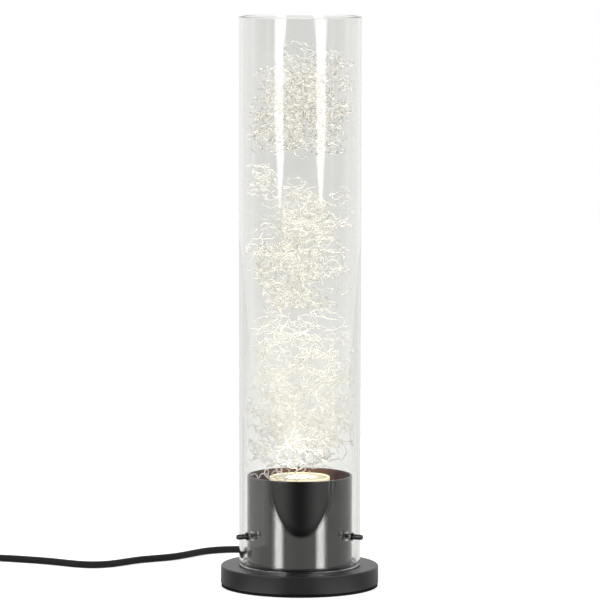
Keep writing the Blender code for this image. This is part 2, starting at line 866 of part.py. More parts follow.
def build_wiring():
    """Leads from the holder through the tube to the terminal block, and from there to the cord."""
    block_top = recess_ceiling - seat_gap
    bore_height = block_top - block_height / 2
    terminal = block("terminal_block", (block_width, block_length, block_height), white_plastic)
    terminal.location = (0.0, block_back, bore_height)
    floor = tube_bottom - lead_bend + lead_diameter / 2
    front_face = block_back - block_length / 2
    back_face = block_back + block_length / 2
    for number, side, finish in ((1, -1, brown_lead), (2, 1, blue_lead)):
        pole = side * block_pole_spacing / 2
        bore = rod(f"terminal_bore_{number}", lead_bore, block_length + 2 * cut_overrun, None, tiny_steps)
        bore.rotation_euler.x = math.pi / 2
        bore.location = (pole, block_back, bore_height)
        boolean(terminal, bore)
        wide = side * lead_spread / 2
        close = side * lead_pair / 2
        route = [
            (wide, 0.0, holder_bottom + seat_gap),
            (wide, 0.0, holder_bottom - lead_diameter),
            (close, 0.0, tube_top + lead_diameter / 2),
            (close, 0.0, tube_top - tube_nut_thickness),
            (close, 0.0, (tube_top + tube_bottom) / 2),
            (close, 0.0, tube_bottom + lead_diameter),
            (close, lead_diameter, floor + lead_diameter),
            (close, lead_bend, floor),
            (pole, front_face - lead_bend, (floor + bore_height) / 2),
            (pole, front_face - lead_diameter, bore_height),
            (pole, front_face + lead_insert, bore_height),
        ]
        points = smooth_route(route, lead_point_spacing)
        tube(f"holder_lead_{number}", points, lead_diameter, finish, 1)
        start = side * lead_pair / 2
        cord_end = cord_start_back - seat_gap
        route = [
            (start, cord_end, cord_height),
            (start, cord_end - lead_diameter, cord_height),
            (pole, back_face + lead_diameter, bore_height),
            (pole, back_face - lead_insert, bore_height),
        ]
        points = smooth_route(route, lead_point_spacing)
        tube(f"cord_lead_{number}", points, lead_diameter, finish, 1)
        for row, along in ((0, -1), (1, 1)):
            index = 2 * row + number
            screw_y = block_back + along * block_screw_spacing / 2
            top = bore_height - lead_diameter / 2 - seat_gap
            length = block_screw_length
            screw = rod(f"terminal_screw_{index}", block_screw_diameter, length, bright_metal, tiny_steps)
            screw.location = (pole, screw_y, top - length / 2)
            hole = rod(
                f"terminal_screw_hole_{index}",
                block_screw_diameter + 2 * seat_gap,
                block_height / 2 + cut_overrun,
                None,
                tiny_steps,
            )
            hole.location = (pole, screw_y, bore_height - (block_height / 2 + cut_overrun) / 2)
            boolean(terminal, hole)


def build_clamp():
    """Block that grips the cord against the recess, with two screws into the base."""
    clamp_top = recess_ceiling - seat_gap
    clamp_bottom = cord_height - cord_radius - seat_gap - clamp_bar
    clamp = block("cord_clamp", (clamp_width, clamp_length, clamp_top - clamp_bottom), black_plastic)
    clamp.location = (0.0, clamp_back, (clamp_top + clamp_bottom) / 2)
    groove_length = clamp_length + 2 * cut_overrun
    groove = rod("clamp_groove", cord_bore, groove_length, None, small_steps)
    groove.rotation_euler.x = math.pi / 2
    groove.location = (0.0, clamp_back, cord_height)
    mouth_height = clamp_top - cord_height + cut_overrun
    mouth = block("clamp_mouth", (cord_bore, groove_length, mouth_height), None)
    mouth.location = (0.0, clamp_back, cord_height + mouth_height / 2)
    boolean(clamp, groove)
    boolean(clamp, mouth)
    for number, side in ((1, -1), (2, 1)):
        across = side * clamp_screw_spacing / 2
        shaft_length = recess_ceiling - clamp_bottom + seat_gap + clamp_screw_bite
        screw = turned(
            f"clamp_screw_{number}",
            screw_outline(clamp_screw_diameter, clamp_screw_head, clamp_screw_head_height, shaft_length),
            zinc,
            tiny_steps,
        )
        screw.rotation_euler.x = math.pi
        screw.location = (across, clamp_back, clamp_bottom - seat_gap)
        hole = rod(
            f"clamp_screw_hole_{number}",
            clamp_screw_diameter + 2 * seat_gap,
            clamp_top - clamp_bottom + 2 * cut_overrun,
            None,
            tiny_steps,
        )
        hole.location = (across, clamp_back, (clamp_top + clamp_bottom) / 2)
        boolean(clamp, hole)


def build_strain_relief():
    """Soft sleeve round the cord: a plug in the base's wall, a flange, and a taper outside."""
    bore = cord_bore / 2
    face = base_radius + seat_gap
    outline = [
        (relief_tip_diameter / 2, face + relief_flange_thickness + relief_length),
        (relief_root_diameter / 2, face + relief_flange_thickness),
        (relief_flange_diameter / 2, face + relief_flange_thickness),
        (relief_flange_diameter / 2, face),
        (relief_plug_diameter / 2, face),
        (relief_plug_diameter / 2, face - relief_plug_length),
        (bore, face - relief_plug_length),
        (bore, face + relief_flange_thickness + relief_length),
    ]
    relief = turned("strain_relief", outline, black_rubber, small_steps)
    relief.rotation_euler.x = -math.pi / 2
    relief.location.z = cord_height


def coil_route():
    """Points of the coil: in along the table for half its turns, up a layer, and out on top."""
    count = coil_turns * coil_loop_points
    half_turns = coil_turns / 2
    points = [(coil_side, coil_y + cord_diameter, coil_low)]
    for index in range(count + 1):
        turns = index / coil_loop_points
        radius = coil_radius - coil_pitch * (half_turns - abs(turns - half_turns))
        climb = min(max((turns - half_turns) / coil_climb_turns + 1 / 2, 0.0), 1.0)
        rise = climb * climb * (3 - 2 * climb)
        angle = math.pi + 2 * math.pi * turns
        height = coil_low + coil_layer * rise
        points.append((coil_x + radius * math.cos(angle), coil_y + radius * math.sin(angle), height))
    points.append((coil_side, coil_y - cord_diameter, coil_high))
    return points


def least_self_gap(points, diameter, apart):
    """Least clear gap between stretches of one tube that are at least a given length apart."""
    route = even_points(points, diameter / 2)
    along = np.concatenate([[0.0], np.cumsum(np.linalg.norm(np.diff(route, axis=0), axis=1))])
    least = np.inf
    for index, point in enumerate(route):
        far = along > along[index] + apart
        if far.any():
            least = min(least, np.linalg.norm(route[far] - point, axis=1).min())
    return least - diameter


def build_cord():
    """The cord in three free stretches and one coil, with the strap that ties the coil."""
    free_runs = {
        "cord_lamp_run": cord_to_switch,
        "cord_coil_run": cord_to_coil,
        "cord_plug_run": cord_to_plug,
    }
    for name, route in free_runs.items():
        tube(name, smooth_route(route, cord_point_spacing), cord_diameter, black_textile, 2)
    coil = coil_route()
    tube("cord_coil", coil, cord_diameter, black_textile, 1)
    gap = least_self_gap(coil, cord_diameter, coil_radius)
    print(f"cord_coil: least gap to itself {gap * 1000:.2f} mm")
    total = 0.0
    for route in (*free_runs.values(), coil):
        runs = np.diff(smooth_route(route, cord_diameter), axis=0)
        total += np.linalg.norm(runs, axis=1).sum()
    print(f"cord: {total:.3f} m in all")
    inner = coil_radius - coil_pitch * coil_turns / 2 - cord_radius - strap_room
    outer = coil_radius - coil_pitch / 2 + cord_radius + strap_room
    inside_height = coil_layer + cord_diameter + seat_gap + strap_room
    size = (outer - inner, strap_width, inside_height)
    walls = (size[0] + 2 * strap_thickness, strap_width, size[2] + 2 * strap_thickness)
    strap = block("coil_strap", walls, black_textile)
    strap.location = (coil_x + (outer + inner) / 2, coil_y, walls[2] / 2)
    opening = block("strap_opening", (size[0], strap_width + 2 * cut_overrun, size[2]), None)
    opening.location = strap.location
    boolean(strap, opening)


def build_switch():
    """In-line switch: two shells, two screws, and a rocker that tips on a pin."""
    room = seat_gap / 2
    half_height = switch_height / 2 - room
    size = (switch_length, switch_width, half_height)
    base = block("switch_base", size, black_plastic, switch_round)
    base.location = (switch_x, switch_y, half_height / 2)
    cover = block("switch_cover", size, black_plastic, switch_round)
    cover.location = (switch_x, switch_y, switch_height - half_height / 2)
    cavity_size = (
        switch_length - 2 * switch_block,
        switch_width - 2 * switch_wall,
        switch_height - 2 * switch_wall,
    )
    cavity = block("switch_cavity", cavity_size, None)
    cavity.location = (switch_x, switch_y, switch_middle)
    channel = rod("switch_channel", cord_bore, switch_length + 2 * cut_overrun, None, small_steps)
    channel.rotation_euler.y = math.pi / 2
    channel.location = (switch_x, switch_y, switch_middle)
    for shell in (base, cover):
        boolean(shell, cavity)
        boolean(shell, channel)
    pivot_height = switch_height - pivot_drop
    half_rocker = rocker_width / 2
    for side in (-1, 1):
        lug_top = switch_height - switch_wall / 2
        lug_bottom = pivot_height - pivot_diameter - seat_gap
        lug = block(f"pivot_lug_{side}", (lug_width, lug_thickness, lug_top - lug_bottom), None)
        across = side * (half_rocker + seat_gap + lug_thickness / 2)
        lug.location = (switch_x, switch_y + across, (lug_top + lug_bottom) / 2)
        boolean(cover, lug, "UNION")
    window_length = rocker_length + 2 * rocker_swing_room
    window = block("rocker_window", (window_length, rocker_width + 2 * seat_gap, switch_height), None)
    window.location = (switch_x, switch_y, switch_height)
    boolean(cover, window)
    pivot_length = rocker_width + 2 * seat_gap + 2 * pivot_seat
    pivot_bore = pivot_diameter + 2 * seat_gap
    pivot_hole = rod("pivot_hole", pivot_bore, pivot_length + 2 * seat_gap, None, tiny_steps)
    pivot_hole.rotation_euler.x = math.pi / 2
    pivot_hole.location = (switch_x, switch_y, pivot_height)
    boolean(cover, pivot_hole)
    pivot = rod("rocker_pivot", pivot_diameter, pivot_length, bright_metal, tiny_steps)
    pivot.rotation_euler.x = math.pi / 2
    pivot.location = (switch_x, switch_y, pivot_height)
    build_rocker(pivot_height)
    build_switch_screws(base, cover)


def build_rocker(pivot_height):
    """Rocker with a shallow V top, bored for its pin and tipped to its ON side."""
    half = rocker_length / 2
    foot = half - rocker_taper
    profile = [(-half, rocker_crown), (-foot, -rocker_depth), (foot, -rocker_depth), (half, rocker_crown)]
    profile.append((0.0, rocker_dip))
    shape = bmesh.new()
    face = shape.faces.new([shape.verts.new((x, -rocker_width / 2, z)) for x, z in profile])
    swept = bmesh.ops.extrude_face_region(shape, geom=[face])
    moved = [item for item in swept["geom"] if isinstance(item, bmesh.types.BMVert)]
    bmesh.ops.translate(shape, verts=moved, vec=(0.0, rocker_width, 0.0))
    bmesh.ops.recalc_face_normals(shape, faces=shape.faces)
    mesh = bpy.data.meshes.new("switch_rocker")
    shape.to_mesh(mesh)
    shape.free()
    rocker = place("switch_rocker", mesh, black_plastic)
    rocker.rotation_euler.y = rocker_tilt
    rocker.location = (switch_x, switch_y, pivot_height)
    bore = rod(
        "rocker_bore", pivot_diameter + 2 * seat_gap, rocker_width + 2 * cut_overrun, None, tiny_steps
    )
    bore.rotation_euler.x = math.pi / 2
    bore.location = rocker.location
    boolean(rocker, bore)


def build_switch_screws(base, cover):
    """Two screws from below, set diagonally in the solid ends of the shells."""
    head_seat = switch_screw_head_height + 2 * seat_gap
    for number, side in ((1, -1), (2, 1)):
        x = switch_x + side * (switch_length - switch_block) / 2
        y = switch_y + side * switch_screw_aside
        shaft_length = switch_screw_length - switch_screw_head_height
        screw = turned(
            f"switch_screw_{number}",
            screw_outline(switch_screw_diameter, switch_screw_head, switch_screw_head_height, shaft_length),
            zinc,
            tiny_steps,
        )
        screw.rotation_euler.x = math.pi
        screw.location = (x, y, head_seat - seat_gap)
        shaft_hole_length = switch_screw_length + 2 * seat_gap
        shaft_hole = rod(
            f"switch_screw_hole_{number}",
            switch_screw_diameter + 2 * seat_gap,
            shaft_hole_length,
            None,
            tiny_steps,
        )
        shaft_hole.location = (x, y, shaft_hole_length / 2)
        head_hole_length = head_seat + cut_overrun
        head_hole = rod(
            f"switch_screw_head_hole_{number}",
            switch_screw_head + 2 * seat_gap,
            head_hole_length,
            None,
            tiny_steps,
        )
        head_hole.location = (x, y, head_seat - head_hole_length / 2)
        boolean(base, shaft_hole)
        boolean(base, head_hole)
        boolean(cover, shaft_hole)


def build_plug():
    """Flat plug with two round pins, narrower where the cord enters it."""
    body = block("plug_body", (plug_width, plug_length, plug_thickness), black_plastic, plug_round)
    for vertex in body.data.vertices:
        if vertex.co.y > 0:
            vertex.co.x *= plug_neck_width / plug_width
            vertex.co.z *= plug_neck_thickness / plug_thickness
    body.location = (plug_x, plug_back - plug_length / 2, plug_middle)
    cord_hole_length = plug_cord_insert + seat_gap + cut_overrun
    cord_hole = rod("plug_cord_hole", cord_bore, cord_hole_length, None, small_steps)
    cord_hole.rotation_euler.x = math.pi / 2
    cord_hole.location = (plug_x, plug_back + cut_overrun - cord_hole_length / 2, plug_middle)
    boolean(body, cord_hole)
    front = plug_back - plug_length
    for number, side in ((1, -1), (2, 1)):
        across = plug_x + side * plug_pin_spacing / 2
        length = plug_pin_reach + plug_pin_root
        radius = plug_pin_diameter / 2
        edge = plug_pin_end_round
        outline = [(0.0, length)]
        outline += corner(radius - edge, length - edge, edge, 90, 0)
        outline += [(radius, 0.0), (0.0, 0.0)]
        pin = turned(f"plug_pin_{number}", outline, bright_metal, small_steps)
        pin.rotation_euler.x = math.pi / 2
        pin.location = (across, front + plug_pin_root, plug_middle)
        hole_length = plug_pin_root + seat_gap + cut_overrun
        hole_diameter = plug_pin_diameter + 2 * seat_gap
        hole = rod(f"plug_pin_hole_{number}", hole_diameter, hole_length, None, small_steps)
        hole.rotation_euler.x = math.pi / 2
        hole.location = (across, front - cut_overrun + hole_length / 2, plug_middle)
        boolean(body, hole)


def segment_samples(starts, ends):
    """Evenly spread points on each of many straight lengths of wire."""
    shares = np.linspace(0.0, 1.0, nest_gap_samples)[None, :, None]
    return starts[:, None, :] + shares * (ends - starts)[:, None, :]


def crumpled_wire(seed, foot, densest, top):
    """Corners of one wire crushed into the glass between two heights, never closer to itself than its gap."""
    draw = random.Random(seed)
    wire_radius = nest_wire_diameter / 2
    reach = glass_inner * math.cos(math.pi / large_steps) - seat_gap - wire_radius
    low = foot + wire_radius
    high = top - wire_radius
    least = nest_wire_diameter + nest_wire_gap

    def somewhere(out_share):
        turn = draw.uniform(0.0, 2 * math.pi)
        height = draw.triangular(low, high, densest)
        return np.array([reach * out_share * math.cos(turn), reach * out_share * math.sin(turn), height])

    points = [somewhere(1.0)]
    target = somewhere(math.sqrt(draw.random()))
    heading = np.zeros(3)
    arrivals = 0
    while len(points) < nest_points:
        here = points[-1]
        to_target = target - here
        distance = np.linalg.norm(to_target)
        if distance < nest_arrival:
            arrivals += 1
            target = somewhere(1.0 if arrivals % nest_wall_visit_every == 0 else math.sqrt(draw.random()))
            continue
        chosen = None
        for _ in range(nest_tries):
            kick = np.array([draw.gauss(0.0, 1.0) for _ in range(3)])
            way = nest_onward_share * heading + nest_drawn_share * to_target / distance
            way += nest_random_share * kick / np.linalg.norm(kick)
            way /= np.linalg.norm(way)
            point = here + way * nest_kink * draw.uniform(*nest_kink_shares)
            out = math.hypot(point[0], point[1])
            if out > reach:
                point[:2] *= reach / out
            sharp = len(points) > 1 and np.dot(way, heading) < math.cos(nest_sharpest_turn)
            if sharp or not low <= point[2] <= high or np.linalg.norm(point - here) < nest_kink / 2:
                continue
            if len(points) > 2:
                wire = np.array(points[:-1])
                old = segment_samples(wire[:-1], wire[1:])
                new = segment_samples(here[None], point[None])[0]
                gaps = np.linalg.norm(old.reshape(-1, 1, 3) - new[None], axis=2)
                if gaps.min() < least:
                    continue
            chosen = point
            break
        if chosen is None:
            points = points[: max(1, len(points) - nest_unwound)]
            target = somewhere(math.sqrt(draw.random()))
            heading = np.zeros(3)
            continue
        heading = (chosen - here) / np.linalg.norm(chosen - here)
        points.append(chosen)
    return points


def build_nests():
    """Three nests of crumpled wire that lean on the glass, one above the other."""
    free_height = glass_top - cup_rim
    for seed, (name, shares) in enumerate(nest_height_shares.items(), start=nest_first_seed):
        foot, densest, top = (cup_rim + share * free_height for share in shares)
        points = crumpled_wire(seed, foot, densest, top)
        tube(name, points, nest_wire_diameter, silver_wire, 0)
        gap = least_self_gap(points, nest_wire_diameter, 2 * nest_kink)
        print(f"{name}: least gap to itself {gap * 1000:.2f} mm")


def finish_shading():
    """Shade turned and round meshes smooth, with their edges kept sharp."""
    for obj in lamp.objects:
        if obj.type == "MESH" and obj.data.polygons:
            obj.data.shade_smooth()
            obj.data.set_sharp_from_angle(angle=smooth_angle)


build_base()
cup_shell = build_cup()
glass_cylinder = build_glass()
build_pins(cup_shell, glass_cylinder)
build_threaded_tube()
build_lampholder(build_bracket())
build_bulb()
build_wiring()
build_clamp()
build_strain_relief()
build_cord()
build_switch()
build_plug()
build_nests()
finish_shading()
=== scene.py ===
"""Looks of the glass cylinder table lamp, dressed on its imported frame.

Metres, +Z up, the photographed front is -Y. Sections follow the lamp as it is put together.
"""

import math
import random

import bmesh
import bpy
import numpy as np
from mathutils import Matrix, Vector


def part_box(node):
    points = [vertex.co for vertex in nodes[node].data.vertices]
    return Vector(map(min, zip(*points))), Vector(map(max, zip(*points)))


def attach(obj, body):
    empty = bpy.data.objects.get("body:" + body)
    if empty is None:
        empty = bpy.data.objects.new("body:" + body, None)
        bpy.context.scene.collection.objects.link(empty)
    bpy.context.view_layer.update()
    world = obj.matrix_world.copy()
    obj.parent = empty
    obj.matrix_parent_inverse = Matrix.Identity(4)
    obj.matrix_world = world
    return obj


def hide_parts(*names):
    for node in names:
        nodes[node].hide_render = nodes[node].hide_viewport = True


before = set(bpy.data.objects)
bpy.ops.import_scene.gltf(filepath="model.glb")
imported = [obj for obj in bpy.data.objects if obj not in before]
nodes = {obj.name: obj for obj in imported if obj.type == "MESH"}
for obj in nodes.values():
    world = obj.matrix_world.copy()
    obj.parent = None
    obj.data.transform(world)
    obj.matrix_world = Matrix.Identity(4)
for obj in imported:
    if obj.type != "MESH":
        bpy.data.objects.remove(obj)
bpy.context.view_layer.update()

# Base: a heavy steel disc, turned, its edges softened, and powder coated matt black. It stands on a
# foam rubber pad that is set in a little. A plastic spacer lifts the cup off it.
seat_gap = 0.0003
turn_steps = 160
smooth_angle = math.radians(32)
disc_top_round = 0.0012
guard_length = 0.0003
disc_foot_round = 0.0010
recess_width = 0.036
recess_back = 0.050
recess_plate = 0.0038
cord_hole_radius = 0.00505
cord_height = 0.0102
powder_black = (0.0060, 0.0060, 0.0062)
powder_worn = (0.0095, 0.0095, 0.0098)
patch_detail = 3.0
patch_edges = (0.35, 0.65)


def arc(centre_radius, centre_height, size, start, end, steps=6):
    """Points of a rounded corner in a turned outline, from one angle in degrees to another."""
    angles = [math.radians(start + (end - start) * step / steps) for step in range(steps + 1)]
    points = [(centre_radius + size * math.cos(a), centre_height + size * math.sin(a)) for a in angles]
    onward = math.copysign(guard_length, end - start)
    first, last = angles[0], angles[-1]
    before = (points[0][0] + onward * math.sin(first), points[0][1] - onward * math.cos(first))
    after = (points[-1][0] - onward * math.sin(last), points[-1][1] + onward * math.cos(last))
    return [before, *points, after]


def in_scene(name, data):
    """A new object in the scene."""
    obj = bpy.data.objects.new(name, data)
    bpy.context.scene.collection.objects.link(obj)
    return obj


def from_shape(name, shape):
    """A new object from a bmesh, with its faces turned outwards."""
    bmesh.ops.recalc_face_normals(shape, faces=shape.faces)
    mesh = bpy.data.meshes.new(name)
    shape.to_mesh(mesh)
    shape.free()
    return in_scene(name, mesh)


def turned(name, outline, steps=turn_steps):
    """A smooth closed solid, turned about Z from (radius, height) points."""
    shape = bmesh.new()
    rings = []
    for radius, height in outline:
        turns = [2 * math.pi * step / steps for step in range(steps if radius > 0 else 1)]
        rings.append([shape.verts.new((radius * math.cos(t), radius * math.sin(t), height)) for t in turns])
    pairs = list(zip(rings, rings[1:]))
    if outline[0][0] > 0:
        pairs.append((rings[-1], rings[0]))
    for upper, lower in pairs:
        for step in range(steps):
            onward = (step + 1) % steps
            corners = [upper[step % len(upper)], upper[onward % len(upper)]]
            corners += [lower[onward % len(lower)], lower[step % len(lower)]]
            shape.faces.new(dict.fromkeys(corners))
    obj = from_shape(name, shape)
    shaded(obj.data)
    return obj


def shaded(mesh):
    """Smooth shading with sharp edges."""
    mesh.shade_smooth()
    mesh.set_sharp_from_angle(angle=smooth_angle)


def plain_mesh(obj):
    """Work a piece's modifiers into its mesh, and leave it a plain one."""
    bpy.context.view_layer.update()
    obj.data = bpy.data.meshes.new_from_object(obj.evaluated_get(bpy.context.evaluated_depsgraph_get()))
    obj.modifiers.clear()


def cut(obj, cutters):
    """Cut the cutters out of a piece."""
    for cutter in cutters:
        obj.modifiers.new("Cut", "BOOLEAN").object = cutter
    plain_mesh(obj)
    shaded(obj.data)
    for cutter in cutters:
        bpy.data.objects.remove(cutter)


def placed(obj, matrix):
    """Put a place and a turn into a piece's mesh, so that its object stays at the origin."""
    obj.data.transform(matrix)
    return obj


def along(direction, origin=(0.0, 0.0, 0.0)):
    """The turn that lays +Z along a direction, from an origin."""
    turn = Vector(direction).to_track_quat("Z", "Y").to_matrix().to_4x4()
    return Matrix.Translation(Vector(origin)) @ turn


def cylinder(name, radius, low, high, steps=48):
    """A plain cylinder along Z."""
    return turned(name, [(0.0, high), (radius, high), (radius, low), (0.0, low)], steps)


def fill(tree, node, *values, **sockets):
    """Give a node's inputs, in their order or by name, plain values or links from outputs."""
    named = [(node.inputs[label.replace("_", " ")], value) for label, value in sockets.items()]
    for socket, value in [*zip(node.inputs, values), *named]:
        if isinstance(value, bpy.types.NodeSocket):
            tree.links.new(value, socket)
        else:
            socket.default_value = value


def added(tree, kind, *values, setting=(), **sockets):
    """A new node, with one of its settings and its inputs given."""
    node = tree.nodes.new(kind)
    if setting:
        setattr(node, *setting)
    fill(tree, node, *values, **sockets)
    return node


def maths(tree, operation, *values, clamp=False):
    """What a Math node gives."""
    node = added(tree, "ShaderNodeMath", *values, setting=("operation", operation))
    node.use_clamp = clamp
    return node.outputs[0]


def ramp(tree, value, start=0.0, end=1.0, low=0.0, high=1.0, way="LINEAR"):
    """A change from a low value to a high one, while another value goes from a start to an end."""
    setting = ("interpolation_type", way)
    return added(tree, "ShaderNodeMapRange", value, start, end, low, high, setting=setting).outputs["Result"]


def new_sockets(group, way, kind, *labels):
    """Named inputs or outputs of a node group."""
    for label in labels:
        group.interface.new_socket(name=label, in_out=way, socket_type=f"NodeSocket{kind}")


def variation_group():
    """Shader group: slow patches of colour and roughness, and a fine grain for the bump."""
    group = bpy.data.node_groups.new("surface_variation", "ShaderNodeTree")
    new_sockets(group, "INPUT", "Color", "Colour", "Patch Colour")
    new_sockets(group, "INPUT", "Float", "Patch Size", "Grain Size", "Smoothest", "Roughest")
    new_sockets(group, "OUTPUT", "Color", "Colour")
    new_sockets(group, "OUTPUT", "Float", "Roughness", "Grain")
    given = group.nodes.new("NodeGroupInput").outputs
    place = added(group, "ShaderNodeTexCoord").outputs["Object"]
    noises = []
    for label in ("Patch Size", "Grain Size"):
        scale = maths(group, "DIVIDE", 1.0, given[label])
        noise = added(group, "ShaderNodeTexNoise", Vector=place, Scale=scale, Detail=patch_detail)
        noises.append(noise.outputs["Fac"])
    patches, grain = noises
    mix = added(
        group,
        "ShaderNodeMix",
        setting=("data_type", "RGBA"),
        Factor=ramp(group, patches, *patch_edges),
        A=given["Colour"],
        B=given["Patch Colour"],
    )
    rough = ramp(group, patches, low=given["Smoothest"], high=given["Roughest"])
    added(group, "NodeGroupOutput", Colour=mix.outputs["Result"], Roughness=rough, Grain=grain)
    return group


surface_variation = variation_group()


def new_material(name):
    """A new material, with its node tree and its shader."""
    material = bpy.data.materials.new(name)
    material.use_nodes = True
    return material, material.node_tree, material.node_tree.nodes["Principled BSDF"]


def finish(name, colour, patch_colour, roughness, grain_size, relief, patch_size=0.02, **plain):
    """A material whose colour, roughness and grain vary over the surface. Other sockets are plain."""
    material, tree, shader = new_material(name)
    varied = added(
        tree,
        "ShaderNodeGroup",
        setting=("node_tree", surface_variation),
        Colour=(*colour, 1.0),
        Patch_Colour=(*patch_colour, 1.0),
        Patch_Size=patch_size,
        Grain_Size=grain_size,
        Smoothest=roughness[0],
        Roughest=roughness[1],
    ).outputs
    normal = added(tree, "ShaderNodeBump", Distance=relief, Height=varied["Grain"]).outputs["Normal"]
    fill(tree, shader, Base_Color=varied["Colour"], Roughness=varied["Roughness"], Normal=normal, **plain)
    return material


def dressed(obj, material, body, slot, *replaced):
    """Give a new piece its material and body, and hide the CAD nodes that it stands for. Its slot is not
    used.
    """
    obj.data.materials.clear()
    obj.data.materials.append(material)
    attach(obj, body)
    if replaced:
        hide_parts(*replaced)
    return obj


def refinish(material, *names):
    """Give CAD nodes whose shape stays a better material."""
    for name in names:
        for slot in nodes[name].material_slots:
            slot.material = material


disc_low, disc_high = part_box("base_disc")
disc_radius = disc_high.x
tube_hole = 0.0053
outline = arc(disc_radius - disc_top_round, disc_high.z - disc_top_round, disc_top_round, 90, 0)
outline += arc(disc_radius - disc_foot_round, disc_low.z + disc_foot_round, disc_foot_round, 0, -90)
outline += [(tube_hole, disc_low.z), (tube_hole, disc_high.z)]
base = turned("turned_base", outline)
recess_end = recess_back - recess_width / 2
recess_low = disc_low.z - seat_gap
recess_high = disc_high.z - recess_plate
recess = [cylinder("recess_round", recess_width / 2, recess_low, recess_high)]
recess_round = cylinder("recess_end", recess_width / 2, recess_low, recess_high)
recess.append(placed(recess_round, Matrix.Translation((0, recess_end, 0))))
bar = bmesh.new()
bar_size = Matrix.Diagonal((recess_width, recess_end, recess_high - recess_low, 1.0))
bar_place = Matrix.Translation((0, recess_end / 2, (recess_low + recess_high) / 2))
bmesh.ops.create_cube(bar, size=1.0, matrix=bar_place @ bar_size)
recess.append(from_shape("recess_middle", bar))
hole = cylinder("cord_hole", cord_hole_radius, recess_end, disc_radius + seat_gap)
recess.append(placed(hole, along((0, 1, 0), (0, 0, cord_height))))
cut(base, recess)
powder_coat = finish(
    "powder_coat", powder_black, powder_worn, (0.34, 0.44), 0.0007, 0.00005, Specular_IOR_Level=0.45
)
dressed(base, powder_coat, "lamp", "base_disc", "base_disc")
rubber_black = (0.003, 0.003, 0.003)
rubber_worn = (0.006, 0.006, 0.006)
soft_rubber = finish(
    "soft_rubber", rubber_black, rubber_worn, (0.75, 0.9), 0.0012, 0.0001, Specular_IOR_Level=0.15
)
plastic_black = (0.020, 0.020, 0.021)
plastic_worn = (0.026, 0.026, 0.027)
black_plastic = finish("black_plastic", plastic_black, plastic_worn, (0.36, 0.5), 0.0005, 0.00003)
pad_low, pad_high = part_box("base_pad")
pad = cylinder("foam_pad", pad_high.x, pad_low.z, pad_high.z, turn_steps)
dressed(pad, soft_rubber, "lamp", "base_pad", "base_pad")
refinish(black_plastic, "cup_spacer")

# Cup: spun from sheet metal, polished and plated black chrome, open at the top. Three holes round
# its foot take the pins. Its inside wall is coloured warm copper: painted glow of the bulb's light.
cup_wall = 0.0014
cup_floor = 0.0015
cup_rim_round = 0.00045
cup_foot_round = 0.0005
inside_glow_slope = 0.3
pin_hole_radius = 0.0025
cup_low, cup_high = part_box("cup_shell")
cup_radius = cup_high.x
cup_inner = cup_radius - cup_wall
outline = arc(cup_radius - cup_rim_round, cup_high.z - cup_rim_round, cup_rim_round, 90, 0)
outline += arc(cup_radius - cup_foot_round, cup_low.z + cup_foot_round, cup_foot_round, 0, -90)
outline += [(tube_hole, cup_low.z), (tube_hole, cup_low.z + cup_floor)]
outline += [(cup_inner, cup_low.z + cup_floor)]
outline += arc(cup_inner + cup_rim_round, cup_high.z - cup_rim_round, cup_rim_round, 180, 90)
cup = turned("spun_cup", outline)
pin_low, pin_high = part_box("glass_pin_1")
pin_height = (pin_low.z + pin_high.z) / 2
pin_turns = [math.radians(degrees) for degrees in (90, 210, 330)]


def outward(turn):
    """The place and turn of something along a radius, at the height of the pins."""
    return along((math.cos(turn), math.sin(turn), 0.0), (0.0, 0.0, pin_height))


def pin_holes(radius, inner, outer):
    """Cutters for the three holes that the pins go through."""
    return [placed(cylinder("pin_hole", radius, inner, outer), outward(turn)) for turn in pin_turns]


cut(cup, pin_holes(pin_hole_radius, cup_radius / 2, cup_radius + cup_wall))
black_chrome = finish(
    "black_chrome", (0.20, 0.20, 0.20), (0.19, 0.19, 0.192), (0.008, 0.016), 0.004, 0.0000003, 0.05,
    Metallic=1.0,
)
dressed(cup, black_chrome, "lamp", "cup_shell", "cup_shell")
inside_painted_glow = finish(
    "inside_painted_glow", (0.37, 0.25, 0.20), (0.30, 0.21, 0.17), (0.26, 0.38), 0.003, 0.000004, 0.02,
    Metallic=1.0,
)
# The inner wall's copper colour is painted glow, for the bulb's warm light on the dark chrome.
cup.data.materials.append(inside_painted_glow)
for face in cup.data.polygons:
    near_wall = math.hypot(face.center.x, face.center.y) < cup_inner + cup_rim_round
    face.material_index = 1 if near_wall and abs(face.normal.z) < inside_glow_slope else 0

# Fixings inside cup and base: a zinc plated threaded tube, whose nuts and washer clamp cup, spacer and
# base together, the bent bracket with the ceramic lampholder screwed to it, and the wiring with its
# terminal block and cord clamp.
zinc = finish(
    "zinc_plate", (0.55, 0.55, 0.53), (0.48, 0.48, 0.47), (0.28, 0.42), 0.002, 0.00002, 0.01,
    Metallic=1.0,
)
bright_steel = finish(
    "bright_steel", (0.75, 0.75, 0.75), (0.68, 0.68, 0.68), (0.16, 0.28), 0.002, 0.00001, 0.008,
    Metallic=1.0,
)
ceramic = finish("glazed_ceramic", (0.80, 0.79, 0.75), (0.76, 0.74, 0.69), (0.25, 0.4), 0.002, 0.00004)
white_plastic = finish("white_plastic", (0.80, 0.80, 0.77), (0.76, 0.76, 0.73), (0.3, 0.45), 0.001, 0.00002)
brown_lead = finish("brown_lead", (0.10, 0.035, 0.015), (0.12, 0.045, 0.02), (0.35, 0.5), 0.001, 0.00001)
blue_lead = finish("blue_lead", (0.02, 0.06, 0.25), (0.03, 0.075, 0.28), (0.35, 0.5), 0.001, 0.00001)
refinish(zinc, "threaded_tube", "tube_nut_lower", "tube_nut_upper", "tube_washer", "lampholder_bracket")
refinish(zinc, "holder_screw_1", "holder_screw_2", "clamp_screw_1", "clamp_screw_2")
refinish(zinc, "pin_nut_1", "pin_nut_2", "pin_nut_3", "switch_screw_1", "switch_screw_2")
